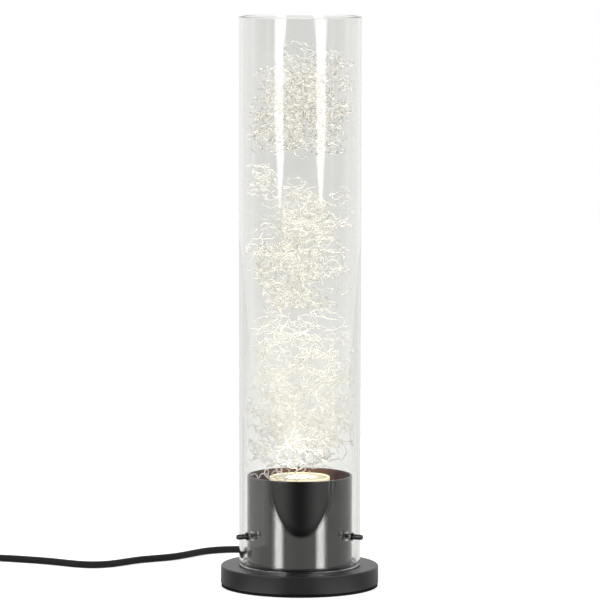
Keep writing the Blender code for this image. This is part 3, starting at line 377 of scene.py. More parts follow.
refinish(bright_steel, "rocker_pivot", *(f"terminal_screw_{number}" for number in range(1, 5)))
refinish(ceramic, "lampholder")
refinish(white_plastic, "terminal_block")
refinish(black_plastic, "cord_clamp")
refinish(brown_lead, "holder_lead_1", "cord_lead_1")
refinish(blue_lead, "holder_lead_2", "cord_lead_2")

# Bulb: a 50 mm reflector bulb with a white moulded body and a frosted front lens, lit. Its body's
# top glows warm towards the rim, a painted glow of the lens's light. It turns in its holder to lock.
bulb_wall = 0.0016
bulb_neck_radius = 0.012
bulb_neck_height = 0.012
bulb_rim_height = 0.007
bulb_rim_round = 0.0006
lens_ledge = 0.0014
body_low, body_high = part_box("bulb_body")
bulb_radius = body_high.x
flare_low = body_low.z + bulb_neck_height
flare_high = body_high.z - bulb_rim_height
flare_steps = 18
flare_power = 1.5
bulb_steps = 96
flare = []
for step in range(flare_steps + 1):
    share = step / flare_steps
    radius = bulb_neck_radius + (bulb_radius - bulb_neck_radius) * math.sin(share * math.pi / 2)
    flare.append((radius, flare_low + (flare_high - flare_low) * share**flare_power))
lens_low, lens_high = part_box("bulb_lens")
lens_radius = lens_high.x
shell_inner = bulb_radius - bulb_wall
outline = [(0.0, flare_low)]
outline += [(radius - bulb_wall, height + bulb_wall) for radius, height in flare[:-1]]
outline += [(shell_inner - lens_ledge, lens_low.z - seat_gap), (shell_inner, lens_low.z - seat_gap)]
outline += arc(shell_inner + bulb_rim_round, body_high.z - bulb_rim_round, bulb_rim_round, 180, 90)
outline += arc(bulb_radius - bulb_rim_round, body_high.z - bulb_rim_round, bulb_rim_round, 90, 0)
outline += flare[::-1]
outline += [(bulb_neck_radius, body_low.z), (0.0, body_low.z)]
bulb = turned("bulb_shell", outline, bulb_steps)
bulb_white = finish("bulb_white", (0.80, 0.80, 0.77), (0.77, 0.76, 0.72), (0.3, 0.45), 0.001, 0.00002)
painted_glow_colours = ((0.0, (1.0, 0.30, 0.14)), (1.0, (1.0, 0.84, 0.42)))
rim_glow = (0.12, 0.8)


def place_parts(tree, space="Object"):
    """The X, Y and Z of what is shaded."""
    place = added(tree, "ShaderNodeTexCoord").outputs[space]
    return added(tree, "ShaderNodeSeparateXYZ", place).outputs


def colours_along(tree, share, *stops):
    """Colours from (position, colour) stops, the first at 0 and the last at 1."""
    node = added(tree, "ShaderNodeValToRGB", share)
    elements = node.color_ramp.elements
    elements[0].color, elements[1].color = (*stops[0][1], 1.0), (*stops[-1][1], 1.0)
    for position, colour in stops[1:-1]:
        elements.new(position).color = (*colour, 1.0)
    return node.outputs["Color"]


# Painted glow: the white body gives off warm light towards its rim, though only the lens is lit.
tree = bulb_white.node_tree
height = place_parts(tree)["Z"]
warmth = colours_along(tree, ramp(tree, height, flare_high, body_high.z), *painted_glow_colours)
glow = ramp(tree, height, flare_high, body_high.z, *rim_glow)
fill(tree, tree.nodes["Principled BSDF"], Emission_Color=warmth, Emission_Strength=glow)
dressed(bulb, bulb_white, "bulb", "bulb_body", "bulb_body")
brass = finish(
    "brass_contacts", (0.60, 0.44, 0.18), (0.52, 0.38, 0.16), (0.25, 0.4), 0.001, 0.00001, 0.004,
    Metallic=1.0,
)
refinish(brass, "bulb_contact_1", "bulb_contact_2")
lens_crown = 0.0006
lens_power = 4
lens_strength = 1.6
lens_shares = (0.2, 0.4, 0.6, 0.75, 0.88, 0.96, 1.0)
lens_colours = (
    (0.0, (1.0, 0.98, 0.93)),
    (0.46, (1.0, 0.97, 0.88)),
    (0.66, (0.40, 0.37, 0.27)),
    (1.0, (0.18, 0.155, 0.09)),
)
outline = [(0.0, lens_high.z)]
outline += [(lens_radius * share, lens_high.z - lens_crown * share**lens_power) for share in lens_shares]
outline += [(lens_radius, lens_low.z), (0.0, lens_low.z)]
lens = turned("lit_lens", outline, bulb_steps)
lens_glow, tree, shader = new_material("lit_lens")
place = added(tree, "ShaderNodeTexCoord").outputs["Object"]
flat_place = added(tree, "ShaderNodeMapping", place, Scale=(1.0, 1.0, 0.0)).outputs["Vector"]
outwards = added(tree, "ShaderNodeVectorMath", flat_place, setting=("operation", "LENGTH")).outputs["Value"]
glow = colours_along(tree, ramp(tree, outwards, 0.0, lens_radius), *lens_colours)
frosting = (0.22, 0.20, 0.14, 1.0)
fill(tree, shader, Base_Color=frosting, Roughness=0.4, Emission_Color=glow, Emission_Strength=lens_strength)
dressed(lens, lens_glow, "bulb", "bulb_lens", "bulb_lens")

# Pins: three turned steel pins with domed ends, plated black, screwed through the glass and the cup
# into their nuts. A clear bush keeps each one off the glass.
pin_dome = 0.0012
sleeve_radius = 0.00395
sleeve_neck_radius = 0.0031
glass_wall = 0.003
glass_low, glass_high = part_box("glass_cylinder")
glass_radius = glass_high.x
glass_inner = glass_radius - glass_wall
pin_radius = (pin_high.z - pin_low.z) / 2
pin_steps = 32
pin_bodies = ("pin_back", "pin_left", "pin_right")
polished_black = finish(
    "polished_black", (0.10, 0.10, 0.10), (0.085, 0.085, 0.085), (0.08, 0.14), 0.002, 0.000002, 0.01,
    Metallic=1.0,
)
clear_bush = finish(
    "clear_bush", (0.93, 0.95, 0.95), (0.90, 0.93, 0.93), (0.02, 0.08), 0.003, 0.00001, 0.01,
    IOR=1.12, Transmission_Weight=1.0,
)
for number, (turn, body) in enumerate(zip(pin_turns, pin_bodies), start=1):
    outline = [(0.0, pin_high.y)]
    outline += arc(pin_radius - pin_dome, pin_high.y - pin_dome, pin_dome, 90, 0)
    outline += [(pin_radius, pin_low.y), (0.0, pin_low.y)]
    pin = placed(turned(f"domed_pin_{number}", outline, pin_steps), outward(turn))
    dressed(pin, polished_black, body, f"glass_pin_{number}", f"glass_pin_{number}")
    shoulder = math.sqrt(glass_inner**2 - sleeve_radius**2) - seat_gap
    outline = [(pin_hole_radius, glass_radius), (sleeve_neck_radius, glass_radius)]
    outline += [(sleeve_neck_radius, shoulder)]
    outline += arc(sleeve_radius - seat_gap, shoulder - seat_gap, seat_gap, 90, 0, 3)
    outline += arc(sleeve_radius - seat_gap, cup_radius + 2 * seat_gap, seat_gap, 0, -90, 3)
    outline += [(pin_hole_radius, cup_radius + seat_gap)]
    bush = placed(turned(f"clear_bush_{number}", outline, pin_steps), outward(turn))
    dressed(bush, clear_bush, "lamp", f"pin_sleeve_{number}", f"pin_sleeve_{number}")

# Glass: one clear tube, fire polished at the top and ground at the foot, standing on the base round
# the cup. Lamps shine through it, so its shader lets shadow rays pass.
glass_edge_round = 0.0009
glass_hole_radius = sleeve_neck_radius + seat_gap
glass_steps = 192
outline = arc(glass_radius - glass_edge_round, glass_high.z - glass_edge_round, glass_edge_round, 90, 0)
outline += arc(glass_radius - glass_edge_round, glass_low.z + glass_edge_round, glass_edge_round, 0, -90)
outline += arc(glass_inner + glass_edge_round, glass_low.z + glass_edge_round, glass_edge_round, -90, -180)
outline += arc(glass_inner + glass_edge_round, glass_high.z - glass_edge_round, glass_edge_round, 180, 90)
tube_of_glass = turned("glass_tube", outline, glass_steps)
cut(tube_of_glass, pin_holes(glass_hole_radius, glass_inner - glass_wall, glass_radius + glass_wall))


def ray(tree, kind):
    """What the Light Path node says of a ray."""
    return added(tree, "ShaderNodeLightPath").outputs[kind]


def mixed_surface(tree, mask, plain, other):
    """Make the material's surface a mix of two shaders: the other one where the mask is 1."""
    mix = added(tree, "ShaderNodeMixShader", mask, plain.outputs[0], other.outputs[0])
    fill(tree, tree.nodes["Material Output"], mix.outputs[0])


glass_tint = (0.875, 0.877, 0.861, 1.0)
shadow_tint = (0.93, 0.94, 0.93, 1.0)
clear_glass, tree, shader = new_material("clear_glass")
fill(tree, shader, Base_Color=glass_tint, Roughness=0.0, IOR=1.5, Transmission_Weight=1.0)
see_through = added(tree, "ShaderNodeBsdfTransparent", shadow_tint)
mixed_surface(tree, ray(tree, "Is Shadow Ray"), shader, see_through)
dressed(tube_of_glass, clear_glass, "lamp", "glass_cylinder", "glass_cylinder")
ground_edge = finish(
    "ground_edge", (0.93, 0.94, 0.93), (0.88, 0.89, 0.88), (0.14, 0.26), 0.0006, 0.00001, 0.006,
    IOR=1.5, Transmission_Weight=1.0,
)
tube_of_glass.data.materials.append(ground_edge)
pin_ways = [Vector((math.cos(turn), math.sin(turn), 0.0)) for turn in pin_turns]
for face in tube_of_glass.data.polygons:
    spot = face.center - Vector((0.0, 0.0, pin_height))
    in_hole = any(spot.dot(way) > 0 and spot.cross(way).length < glass_hole_radius for way in pin_ways)
    face.material_index = 1 if in_hole or face.center.z < glass_low.z + glass_edge_round else 0

# Wire: lengths of fine silver wire, crimped, crushed by hand and pushed down into the glass, where
# they spring out against its wall in three loose nests, with stray strands between them.
wire_radius = 0.00042
wire_sides = 4
wire_gap = 0.0009
wire_reach = glass_inner - wire_gap
wire_lift = 0.0012
wire_low = cup_high.z + wire_lift
wire_high = 0.452
wire_wave = 0.0035
wire_crimp = 0.0016
wire_bend = 0.38
wire_flatness = 0.80
wire_bend_samples = 2
strand_spread = (0.7, 1.3)
start_spread = (0.0, 0.7)
crimp_spread = (0.5, 1.0)
bend_drift = 0.45
side_drift = 0.3
home_pull = 0.22
wall_turn = 1.4
outline_samples = 400
step_across, step_deep = 0.6180340, 0.7548777


def from_points(name, points, edges, faces):
    """A new object from points and the edges or faces between them."""
    mesh = bpy.data.meshes.new(name)
    mesh.from_pydata(points, edges, faces)
    return in_scene(name, mesh)


def wire_tree():
    """Geometry Nodes: round wire along every chain of edges."""
    group = bpy.data.node_groups.new("round_wire", "GeometryNodeTree")
    new_sockets(group, "INPUT", "Geometry", "Geometry")
    new_sockets(group, "INPUT", "Float", "Wire Radius")
    new_sockets(group, "INPUT", "Int", "Sides")
    new_sockets(group, "INPUT", "Material", "Material")
    new_sockets(group, "OUTPUT", "Geometry", "Geometry")
    given = group.nodes.new("NodeGroupInput").outputs
    path = added(group, "GeometryNodeMeshToCurve", Mesh=given["Geometry"]).outputs["Curve"]
    size, sides = given["Wire Radius"], given["Sides"]
    section = added(group, "GeometryNodeCurvePrimitiveCircle", Radius=size, Resolution=sides).outputs["Curve"]
    sweep = added(group, "GeometryNodeCurveToMesh", Curve=path, Profile_Curve=section, Fill_Caps=True)
    smooth = added(group, "GeometryNodeSetShadeSmooth", Geometry=sweep.outputs["Mesh"])
    realized = added(group, "GeometryNodeRealizeInstances", smooth.outputs["Geometry"]).outputs["Geometry"]
    coat = added(group, "GeometryNodeSetMaterial", Geometry=realized, Material=given["Material"])
    added(group, "NodeGroupOutput", Geometry=coat.outputs["Geometry"])
    return group


round_wire = wire_tree()


def swept(name, strands, metal):
    """A plain mesh of round wire along lists of points, made by the round_wire tree."""
    edges = []
    start = 0
    for strand in strands:
        edges += [(start + step, start + step + 1) for step in range(len(strand) - 1)]
        start += len(strand)
    obj = from_points(name, np.concatenate(strands).tolist(), edges, [])
    modifier = obj.modifiers.new("Round wire", "NODES")
    modifier.node_group = round_wire
    given = {"Wire Radius": wire_radius, "Sides": wire_sides, "Material": metal}
    for item in round_wire.interface.items_tree:
        if item.in_out == "INPUT" and item.name in given:
            modifier[item.identifier] = given[item.name]
    plain_mesh(obj)
    return obj


def rounded(points, samples):
    """A Catmull-Rom curve through points, with a number of samples for each stretch."""
    points = np.array(points, dtype=float)
    padded = np.vstack([2 * points[0] - points[1], points, 2 * points[-1] - points[-2]])
    shares = (np.arange(samples) / samples)[:, None]
    runs = []
    for before, start, end, after in zip(padded, padded[1:], padded[2:], padded[3:]):
        first = (end - before) / 2
        second = before - 2.5 * start + 2 * end - after / 2
        third = 1.5 * (start - end) + (after - before) / 2
        runs.append(start + shares * first + shares**2 * second + shares**3 * third)
    return np.vstack([*runs, points[-1:]])


def unit(vector):
    """A vector's direction."""
    return vector / np.linalg.norm(vector)


def any_way(draw):
    """A random direction."""
    return unit(np.array([draw.gauss(0.0, 1.0) for _ in range(3)]))


def crimped_strand(draw, home, roam, length):
    """One strand: it winds about its home in wide bends, and is crimped into short waves all along."""
    here = home + roam * draw.uniform(*start_spread) * any_way(draw)
    heading, bend, side = any_way(draw), any_way(draw), any_way(draw)
    points = []
    for index in range(int(length / wire_wave)):
        bend = unit(bend + bend_drift * any_way(draw))
        pull = (home - here) / roam
        heading = heading + wire_bend * np.cross(bend, heading) + home_pull * np.linalg.norm(pull) * pull
        heading = unit(heading * (1.0, 1.0, wire_flatness))
        here = here + heading * wire_wave * draw.uniform(*strand_spread)
        out = math.hypot(here[0], here[1])
        if out > wire_reach - wire_crimp:
            here[:2] *= (wire_reach - wire_crimp) / out
            heading[:2] -= wall_turn * here[:2] / out * max(np.dot(heading[:2], here[:2] / out), 0.0)
        side = unit(side - np.dot(side, heading) * heading + side_drift * any_way(draw))
        point = here + side * (wire_crimp * draw.uniform(*crimp_spread) * (-1) ** index)
        point[2] = wire_high - abs(wire_high - max(point[2], wire_low))
        points.append(point)
    return rounded(points, wire_bend_samples)


def strand_homes(draw, rows, count):
    """Places spread evenly over an outline of (height, left, right, weight) rows, at any depth."""
    heights, lefts, rights, weights = (np.array(column) for column in zip(*rows))
    fine = np.linspace(heights[0], heights[-1], outline_samples)
    widths = np.interp(fine, heights, rights) - np.interp(fine, heights, lefts)
    share = np.interp(fine, heights, weights) * widths
    share = np.cumsum(share) / share.sum()
    shift = draw.random()
    homes = []
    for index in range(count):
        height = float(np.interp((index + 0.5) / count, share, fine))
        left, right = np.interp(height, heights, lefts), np.interp(height, heights, rights)
        x = left + (right - left) * ((shift + index * step_across) % 1.0)
        reach = math.sqrt(max(wire_reach**2 - x**2, 0.0))
        homes.append(np.array([x, reach * (2 * ((shift + index * step_deep) % 1.0) - 1), height]))
    return homes


wire_grain, wire_relief = 0.002, 0.00001
# Three copies of one silver wire: (name, colour, patch colour, roughness, patch size, metallic). The darker
# patches along the strands are painted shade, darker in the middle and upper nests.
wire_rows = (
    ("silver_wire", (0.97, 0.96, 0.93), (0.82, 0.81, 0.78), (0.22, 0.40), 0.005, 0.30),
    ("middle_wire_painted_shade", (0.95, 0.94, 0.91), (0.54, 0.53, 0.51), (0.22, 0.40), 0.005, 0.30),
    ("upper_wire_painted_shade", (0.96, 0.95, 0.92), (0.33, 0.325, 0.32), (0.18, 0.34), 0.003, 0.35),
)
silver_wire, middle_wire_painted_shade, upper_wire_painted_shade = (
    finish(name, colour, patch_colour, roughness, wire_grain, wire_relief, patch_size, Metallic=metallic)
    for name, colour, patch_colour, roughness, patch_size, metallic in wire_rows
)
# The nests' outlines, as the front shows them: rows of (height, left, right, weight).
lower_rows = [
    (0.0990, -0.018, 0.018, 0.9), (0.1050, -0.026, 0.028, 1.0), (0.1130, -0.031, 0.035, 1.1),
    (0.1220, -0.034, 0.038, 1.2), (0.1390, -0.037, 0.039, 1.3), (0.1550, -0.038, 0.040, 1.2),
    (0.1720, -0.039, 0.039, 1.1), (0.1890, -0.040, 0.038, 1.0), (0.2010, -0.040, 0.037, 0.8),
]
middle_rows = [
    (0.2320, -0.020, 0.020, 0.8), (0.2440, -0.028, 0.018, 1.0), (0.2511, -0.034, 0.016, 0.9),
    (0.2594, -0.038, 0.013, 1.1), (0.2677, -0.039, 0.016, 1.2), (0.2760, -0.037, 0.020, 1.2),
    (0.2843, -0.032, 0.023, 1.1), (0.2967, -0.026, 0.030, 1.0), (0.3092, -0.019, 0.033, 0.9),
    (0.3175, -0.015, 0.018, 0.9), (0.3258, -0.008, 0.010, 0.8), (0.3374, -0.006, 0.010, 0.4),
]
upper_rows = [
    (0.3600, -0.010, 0.015, 0.4), (0.3631, -0.030, 0.024, 0.6), (0.3713, -0.033, 0.026, 0.9),
    (0.3795, -0.037, 0.030, 1.0), (0.3852, -0.037, 0.036, 1.0), (0.3918, -0.038, 0.036, 1.1),
    (0.4001, -0.032, 0.028, 1.1), (0.4083, -0.036, 0.030, 1.1), (0.4166, -0.032, 0.036, 1.0),
    (0.4224, -0.022, 0.036, 1.0), (0.4307, -0.018, 0.034, 0.9), (0.4380, -0.014, 0.030, 0.8),
    (0.4460, -0.012, 0.016, 0.6),
]
# Each nest's seed, its wire, and its heaps of (strands, length, roam, outline rows).
nests = {
    "wire_nest_lower": (21, silver_wire, [
        (60, 0.20, 0.013, lower_rows),
        (12, 0.14, 0.026, [(0.2000, -0.036, 0.036, 1.0), (0.2280, -0.036, 0.036, 0.8)]),
        (3, 0.10, 0.013, [(0.1080, -0.043, -0.038, 1.0), (0.1500, -0.043, -0.040, 1.0)]),
    ]),
    "wire_nest_middle": (22, middle_wire_painted_shade, [
        (48, 0.18, 0.012, middle_rows),
        (5, 0.13, 0.008, [(0.3280, -0.040, -0.026, 1.0), (0.3460, -0.036, -0.022, 1.0)]),
        (7, 0.13, 0.020, [(0.2450, 0.020, 0.038, 1.0), (0.3350, 0.000, 0.040, 0.8)]),
    ]),
    "wire_nest_upper": (23, upper_wire_painted_shade, [
        (50, 0.18, 0.011, upper_rows),
        (5, 0.12, 0.016, [(0.3560, -0.034, 0.034, 1.0), (0.4380, -0.036, 0.036, 1.0)]),
    ]),
}
# Two curls that hang over the cup's rim in front of the bulb.
rim_curls = (
    [
        (-0.0428, -0.010, 0.1062), (-0.0436, -0.009, 0.1015), (-0.0412, -0.010, 0.0970),
        (-0.0397, -0.010, 0.0932), (-0.0379, -0.011, 0.0950), (-0.0352, -0.012, 0.0942),
        (-0.0341, -0.012, 0.0905), (-0.0321, -0.012, 0.0946), (-0.0285, -0.012, 0.0955),
        (-0.0262, -0.012, 0.0942), (-0.0258, -0.010, 0.0972), (-0.0275, -0.008, 0.0990),
    ],
    [
        (-0.0262, -0.020, 0.0960), (-0.0240, -0.024, 0.0935), (-0.0205, -0.027, 0.0950),
        (-0.0186, -0.028, 0.0930), (-0.0136, -0.029, 0.0913), (-0.0115, -0.029, 0.0925),
        (-0.0078, -0.029, 0.0958), (-0.0050, -0.029, 0.0948), (-0.0029, -0.029, 0.0915),
        (-0.0010, -0.030, 0.0935), (0.0020, -0.029, 0.0960), (0.0070, -0.028, 0.0935),
        (0.0085, -0.026, 0.0962), (0.0080, -0.020, 0.0990),
    ],
)
for name, (seed, metal, heaps) in nests.items():
    draw = random.Random(seed)
    strands = [rounded(curl, wire_bend_samples) for curl in rim_curls] if name == "wire_nest_lower" else []
    for count, length, roam, rows in heaps:
        for home in strand_homes(draw, rows, count):
            strands.append(crimped_strand(draw, home, roam, length * draw.uniform(*strand_spread)))
    nest = swept(name.replace("wire_nest", "crushed_wire"), strands, metal)
    dressed(nest, metal, "lamp", name, name)

# Hand switch and plug: moulded in black plastic. The switch's two shells are screwed together over the
# cord, and its rocker tips on a bright pin. The plug is moulded round its pins on the cord's end.
switch_low, switch_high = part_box("switch_base")
switch_y = (switch_low.y + switch_high.y) / 2
switch_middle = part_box("switch_cover")[1].z / 2
plug_low, plug_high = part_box("plug_body")
plug_x = (plug_low.x + plug_high.x) / 2
plug_middle = plug_high.z / 2
refinish(black_plastic, "switch_base", "switch_cover", "switch_rocker", "plug_body")
refinish(bright_steel, "plug_pin_1", "plug_pin_2")

# Coil strap: a strip of hook and loop cloth, wound round the coil of spare cord and pressed onto
# itself, so that it keeps the coil together and is undone by hand.
strap_sheet, strap_corner = 0.0008, 0.0052
strap_low, strap_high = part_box("coil_strap")
rings = []
front, back = strap_low.y, strap_high.y
for depth, side in ((0.0, front), (0.0, back), (strap_sheet, back), (strap_sheet, front)):
    ring = []
    for quarter in range(4):
        x = strap_low.x + strap_corner if quarter in (1, 2) else strap_high.x - strap_corner
        z = strap_low.z + strap_corner if quarter > 1 else strap_high.z - strap_corner
        corner = arc(x, z, strap_corner - depth, 90 * quarter, 90 * quarter + 90)
        ring += [(across, side, up) for across, up in corner]
    rings.append(ring)
count = len(ring)
steps = [(index, (index + 1) % count) for index in range(count)]
quads = [
    (near * count + step, far * count + step, far * count + following, near * count + following)
    for near, far in ((0, 1), (1, 2), (2, 3), (3, 0))
    for step, following in steps
]
strap = from_points("tied_strap", [point for ring in rings for point in ring], [], quads)
shaded(strap.data)
strap_cloth = finish("strap_cloth", (0.014, 0.014, 0.015), (0.022, 0.022, 0.023), (0.8, 0.95), 0.0006, 0.0002)
dressed(strap, strap_cloth, "lamp", "coil_strap", "coil_strap")

# Cord: round black mains cord with a braided textile cover. It leaves the base through a tapered
# rubber sleeve, drops to the table, runs to a hand switch, and ends in a tied coil and a plug.
cord_radius = 0.003
cord_start = 0.0365
cord_sides = 16
cord_samples = 8
plug_lead, plug_depth = 0.0065, 0.0080
coil_x = -0.3520
coil_y = 0.0668
coil_radius = 0.0440
coil_pitch = 0.0066
coil_low = 0.0041
coil_layer = 0.0065
coil_turns = 5
coil_loop_points = 24
coil_climb_turns = 0.5
coil_side = coil_x - coil_radius
cord_route = [(0.0, y, cord_height) for y in (cord_start, 0.0520, disc_radius, 0.0790, 0.0935)]
cord_route += [(-0.0010, 0.1080, 0.0090), (-0.0040, 0.1230, 0.0062), (-0.0105, 0.1380, 0.0038)]
table_run = (
    (-0.0210, 0.1520), (-0.0350, 0.1630), (-0.0510, 0.1685), (-0.0670, 0.1670),
    (-0.0810, 0.1595), (-0.0915, 0.1480), (-0.1010, 0.1360), (-0.1120, 0.1255),
    (-0.1250, 0.1180), (-0.1385, 0.1100), (-0.1500, 0.0990), (-0.1610, 0.0890),
    (-0.1745, 0.0840), (-0.1885, 0.0868), (-0.2020, 0.0945), (-0.2160, 0.1030),
    (-0.2315, 0.1100), (-0.2475, 0.1162), (-0.2630, 0.1220),
)
cord_route += [(x, y, cord_radius) for x, y in table_run]
cord_route += [(-0.2740, 0.1263, 0.0047), (-0.2830, 0.1292, 0.0075)]
switch_run = (-0.2905, -0.2970, -0.3050, -0.3280, -0.3510, -0.3590, -0.3655)
cord_route += [(x, switch_y, switch_middle) for x in switch_run]
cord_route += [(-0.3765, 0.1278, 0.0082), (-0.3870, 0.1210, 0.0065), (-0.3935, 0.1110, 0.0050)]
cord_route += [(coil_side, 0.1000, coil_low), (coil_side, 0.0880, coil_low)]
for index in range(coil_turns * coil_loop_points + 1):
    turns = index / coil_loop_points
    radius = coil_radius - coil_pitch * (coil_turns / 2 - abs(turns - coil_turns / 2))
    climb = min(max((turns - coil_turns / 2) / coil_climb_turns + 1 / 2, 0.0), 1.0)
    rise = climb * climb * (3 - 2 * climb)
    angle = math.pi + 2 * math.pi * turns
    x, y = coil_x + radius * math.cos(angle), coil_y + radius * math.sin(angle)
    cord_route.append((x, y, coil_low + coil_layer * rise))
cord_route += [
    (coil_side, 0.0530, coil_low + coil_layer),
    (-0.3959, 0.0430, 0.0092),
    (-0.3953, 0.0320, 0.0063),
    (-0.3940, 0.0210, 0.0040),
    (-0.3925, 0.0100, 0.0033),
    (-0.3910, 0.0010, 0.0044),
    (plug_x, plug_high.y + plug_lead, plug_middle),
    (plug_x, plug_high.y, plug_middle),
    (plug_x, plug_high.y - plug_depth, plug_middle),
]
cord_path = rounded(cord_route, cord_samples)


def sleeve_along(name, path, radius, sides):
    """A tube along a path, with its length in metres and its turn as a share in the UV map."""
    path = np.array(path)
    heads = np.gradient(path, axis=0)
    heads /= np.linalg.norm(heads, axis=1)[:, None]
    lengths = np.concatenate([[0.0], np.cumsum(np.linalg.norm(np.diff(path, axis=0), axis=1))])
    side = unit(np.cross(heads[0], (0.0, 0.0, 1.0)))
    shape = bmesh.new()
    uv = shape.loops.layers.uv.new("UVMap")
    rings = []
    for point, head in zip(path, heads):
        side = unit(side - np.dot(side, head) * head)
        other = np.cross(head, side)
        turns = [2 * math.pi * step / sides for step in range(sides)]
        ways = [math.cos(turn) * side + math.sin(turn) * other for turn in turns]
        rings.append([shape.verts.new(point + radius * way) for way in ways])
    for index, (ring, onward) in enumerate(zip(rings, rings[1:])):
        for step in range(sides):
            following = (step + 1) % sides
            face = shape.faces.new((ring[step], ring[following], onward[following], onward[step]))
            face.smooth = True
            places = ((index, step), (index, step + 1), (index + 1, step + 1), (index + 1, step))
            for loop, (row, column) in zip(face.loops, places):
                loop[uv].uv = (lengths[row], column / sides)
    shape.faces.new(rings[0][::-1])
    shape.faces.new(rings[-1])
    return from_shape(name, shape)


cord = sleeve_along("braided_cord", cord_path, cord_radius, cord_sides)
braid_pitch = 0.0036
braid_strands = 8
braid_relief = 0.00025
# Painted shade: the yarn is darker in the grooves of the weave and lighter on its crests.
weave_groove_shade_colours = ((0.0, (0.0045, 0.0045, 0.0048)), (1.0, (0.018, 0.018, 0.0185)))
braid, tree, shader = new_material("textile_braid")
along_cord = added(tree, "ShaderNodeUVMap", setting=("uv_map", "UVMap")).outputs["UV"]
parts = added(tree, "ShaderNodeSeparateXYZ", along_cord).outputs
waves = []
for direction in (1, -1):
    lengthwise = maths(tree, "MULTIPLY", parts["X"], 2 * math.pi * direction / braid_pitch)
    turnwise = maths(tree, "MULTIPLY_ADD", parts["Y"], 2 * math.pi * braid_strands, lengthwise)
    waves.append(maths(tree, "SINE", turnwise))
weave = ramp(tree, maths(tree, "MULTIPLY", *waves), -1.0, 1.0)
bump = added(tree, "ShaderNodeBump", Distance=braid_relief, Height=weave)
fill(tree, shader, Base_Color=colours_along(tree, weave, *weave_groove_shade_colours), Normal=bump.outputs["Normal"])
fill(tree, shader, Roughness=0.85, Specular_IOR_Level=0.25, Sheen_Weight=0.08, Sheen_Roughness=0.4)
dressed(cord, braid, "lamp", "cord_lamp_run", "cord_lamp_run", "cord_coil_run", "cord_coil", "cord_plug_run")
refinish(soft_rubber, "strain_relief")

# Studio: a pale glossy table with a round front edge, in a white room that is dark in front. Strip
# lights stand on both sides, and show as stripes in the glass and, by way of the table, in the cup.
white = (1.0, 1.0, 1.0, 1.0)
table_white = (0.82, 0.82, 0.82, 1.0)
table_glow = 0.45
table_half = 4.0
table_edge_radius = 1.84
table_edge_front, table_edge_side = -0.348, -0.080
table_edge_centre = table_edge_front + table_edge_radius
table_edge_blur = 0.004
below_edge_start, below_edge_end, below_edge_low = 0.02, 0.06, 0.55
near_start, near_end = 0.13, 0.16
streak_centre = -0.026
# Bands of light are (start, end, blur, strength) and steps are (start, end, low, high), in degrees.
near_band = (24.0, 72.0, 14.0, 1.15)
streak_band = (37.0, 54.0, 5.0, 3.5)
card_bands = ((62.5, 65.5, 0.8, 0.5), (100.0, 106.0, 0.8, 0.35))
room_front = (2.0, 42.0, 0.060, 0.285)
room_back = (70.0, 125.0, 0.0, 0.715)
shine_steps = (
    (-30.0, -20.0, 0.0, 0.33), (0.0, 30.0, 0.0, 0.07), (90.0, 104.0, 0.0, 0.12), (115.0, 150.0, 0.0, 0.40),
)


def turn_step(tree, turn, start, end, low=0.0, high=1.0):
    """A smooth step between two angles in degrees."""
    return ramp(tree, turn, math.radians(start), math.radians(end), low, high, "SMOOTHSTEP")


def band(tree, turn, start, end, blur, strength):
    """A strength between two angles in degrees, with soft ends."""
    rise = turn_step(tree, turn, start - blur, start + blur)
    fall = turn_step(tree, turn, end - blur, end + blur, strength, 0.0)
    return maths(tree, "MULTIPLY", rise, fall)


def turn_of(tree, side, forward):
    """The turn of a direction away from the camera's side, without its sign."""
    return maths(tree, "ABSOLUTE", maths(tree, "ARCTAN2", side, maths(tree, "MULTIPLY", forward, -1.0)))


def room_light(tree, side, forward):
    """How bright the room is, from the sideways and the forward part of a direction."""
    turn = turn_of(tree, side, forward)
    front, back = turn_step(tree, turn, *room_front), turn_step(tree, turn, *room_back)
    level = maths(tree, "ADD", front, back)
    for limits in card_bands:
        level = maths(tree, "ADD", level, band(tree, turn, *limits))
    return level


def mirrored_rays(tree):
    """A mask of the rays that come by way of something glossy."""
    return maths(tree, "GREATER_THAN", ray(tree, "Glossy Depth"), 0.5)


def seen_rays(tree):
    """A mask of the rays that come straight from the camera, or by way of glass."""
    return maths(tree, "ADD", ray(tree, "Is Camera Ray"), ray(tree, "Is Transmission Ray"), clamp=True)


def distance_from(tree, place, x, y):
    """How far a place on the table is from (x, y)."""
    steps = [maths(tree, "SUBTRACT", place[label], start) for label, start in (("X", x), ("Y", y))]
    return maths(tree, "SQRT", maths(tree, "ADD", *(maths(tree, "POWER", step, 2.0) for step in steps)))


def product(tree, value, *others):
    """All the values multiplied."""
    for other in others:
        value = maths(tree, "MULTIPLY", value, other)
    return value


corners = [(x * table_half, y * table_half, 0.0) for x, y in ((-1, -1), (1, -1), (1, 1), (-1, 1))]
table = from_points("table_top", corners, [], [(0, 1, 2, 3)])
pale, tree, shader = new_material("pale_table")
glow = maths(tree, "MULTIPLY", seen_rays(tree), table_glow)
fill(tree, shader, Base_Color=table_white, Roughness=0.7, Emission_Color=white, Emission_Strength=glow)
place = place_parts(tree)
room = room_light(tree, place["X"], place["Y"])
reach = distance_from(tree, place, table_edge_side, table_edge_centre)
edge_far, edge_near = table_edge_radius + table_edge_blur, table_edge_radius - table_edge_blur
on_table = ramp(tree, reach, edge_near, edge_far, 1.0, 0.0, "SMOOTHSTEP")
start, end = table_edge_radius + below_edge_start, table_edge_radius + below_edge_end
below_edge = ramp(tree, reach, start, end, below_edge_low, 1.0, "SMOOTHSTEP")
streak_turn = turn_of(tree, place["X"], maths(tree, "SUBTRACT", place["Y"], streak_centre))
through_glass = ray(tree, "Is Transmission Ray")
streak = product(tree, band(tree, streak_turn, *streak_band), through_glass)
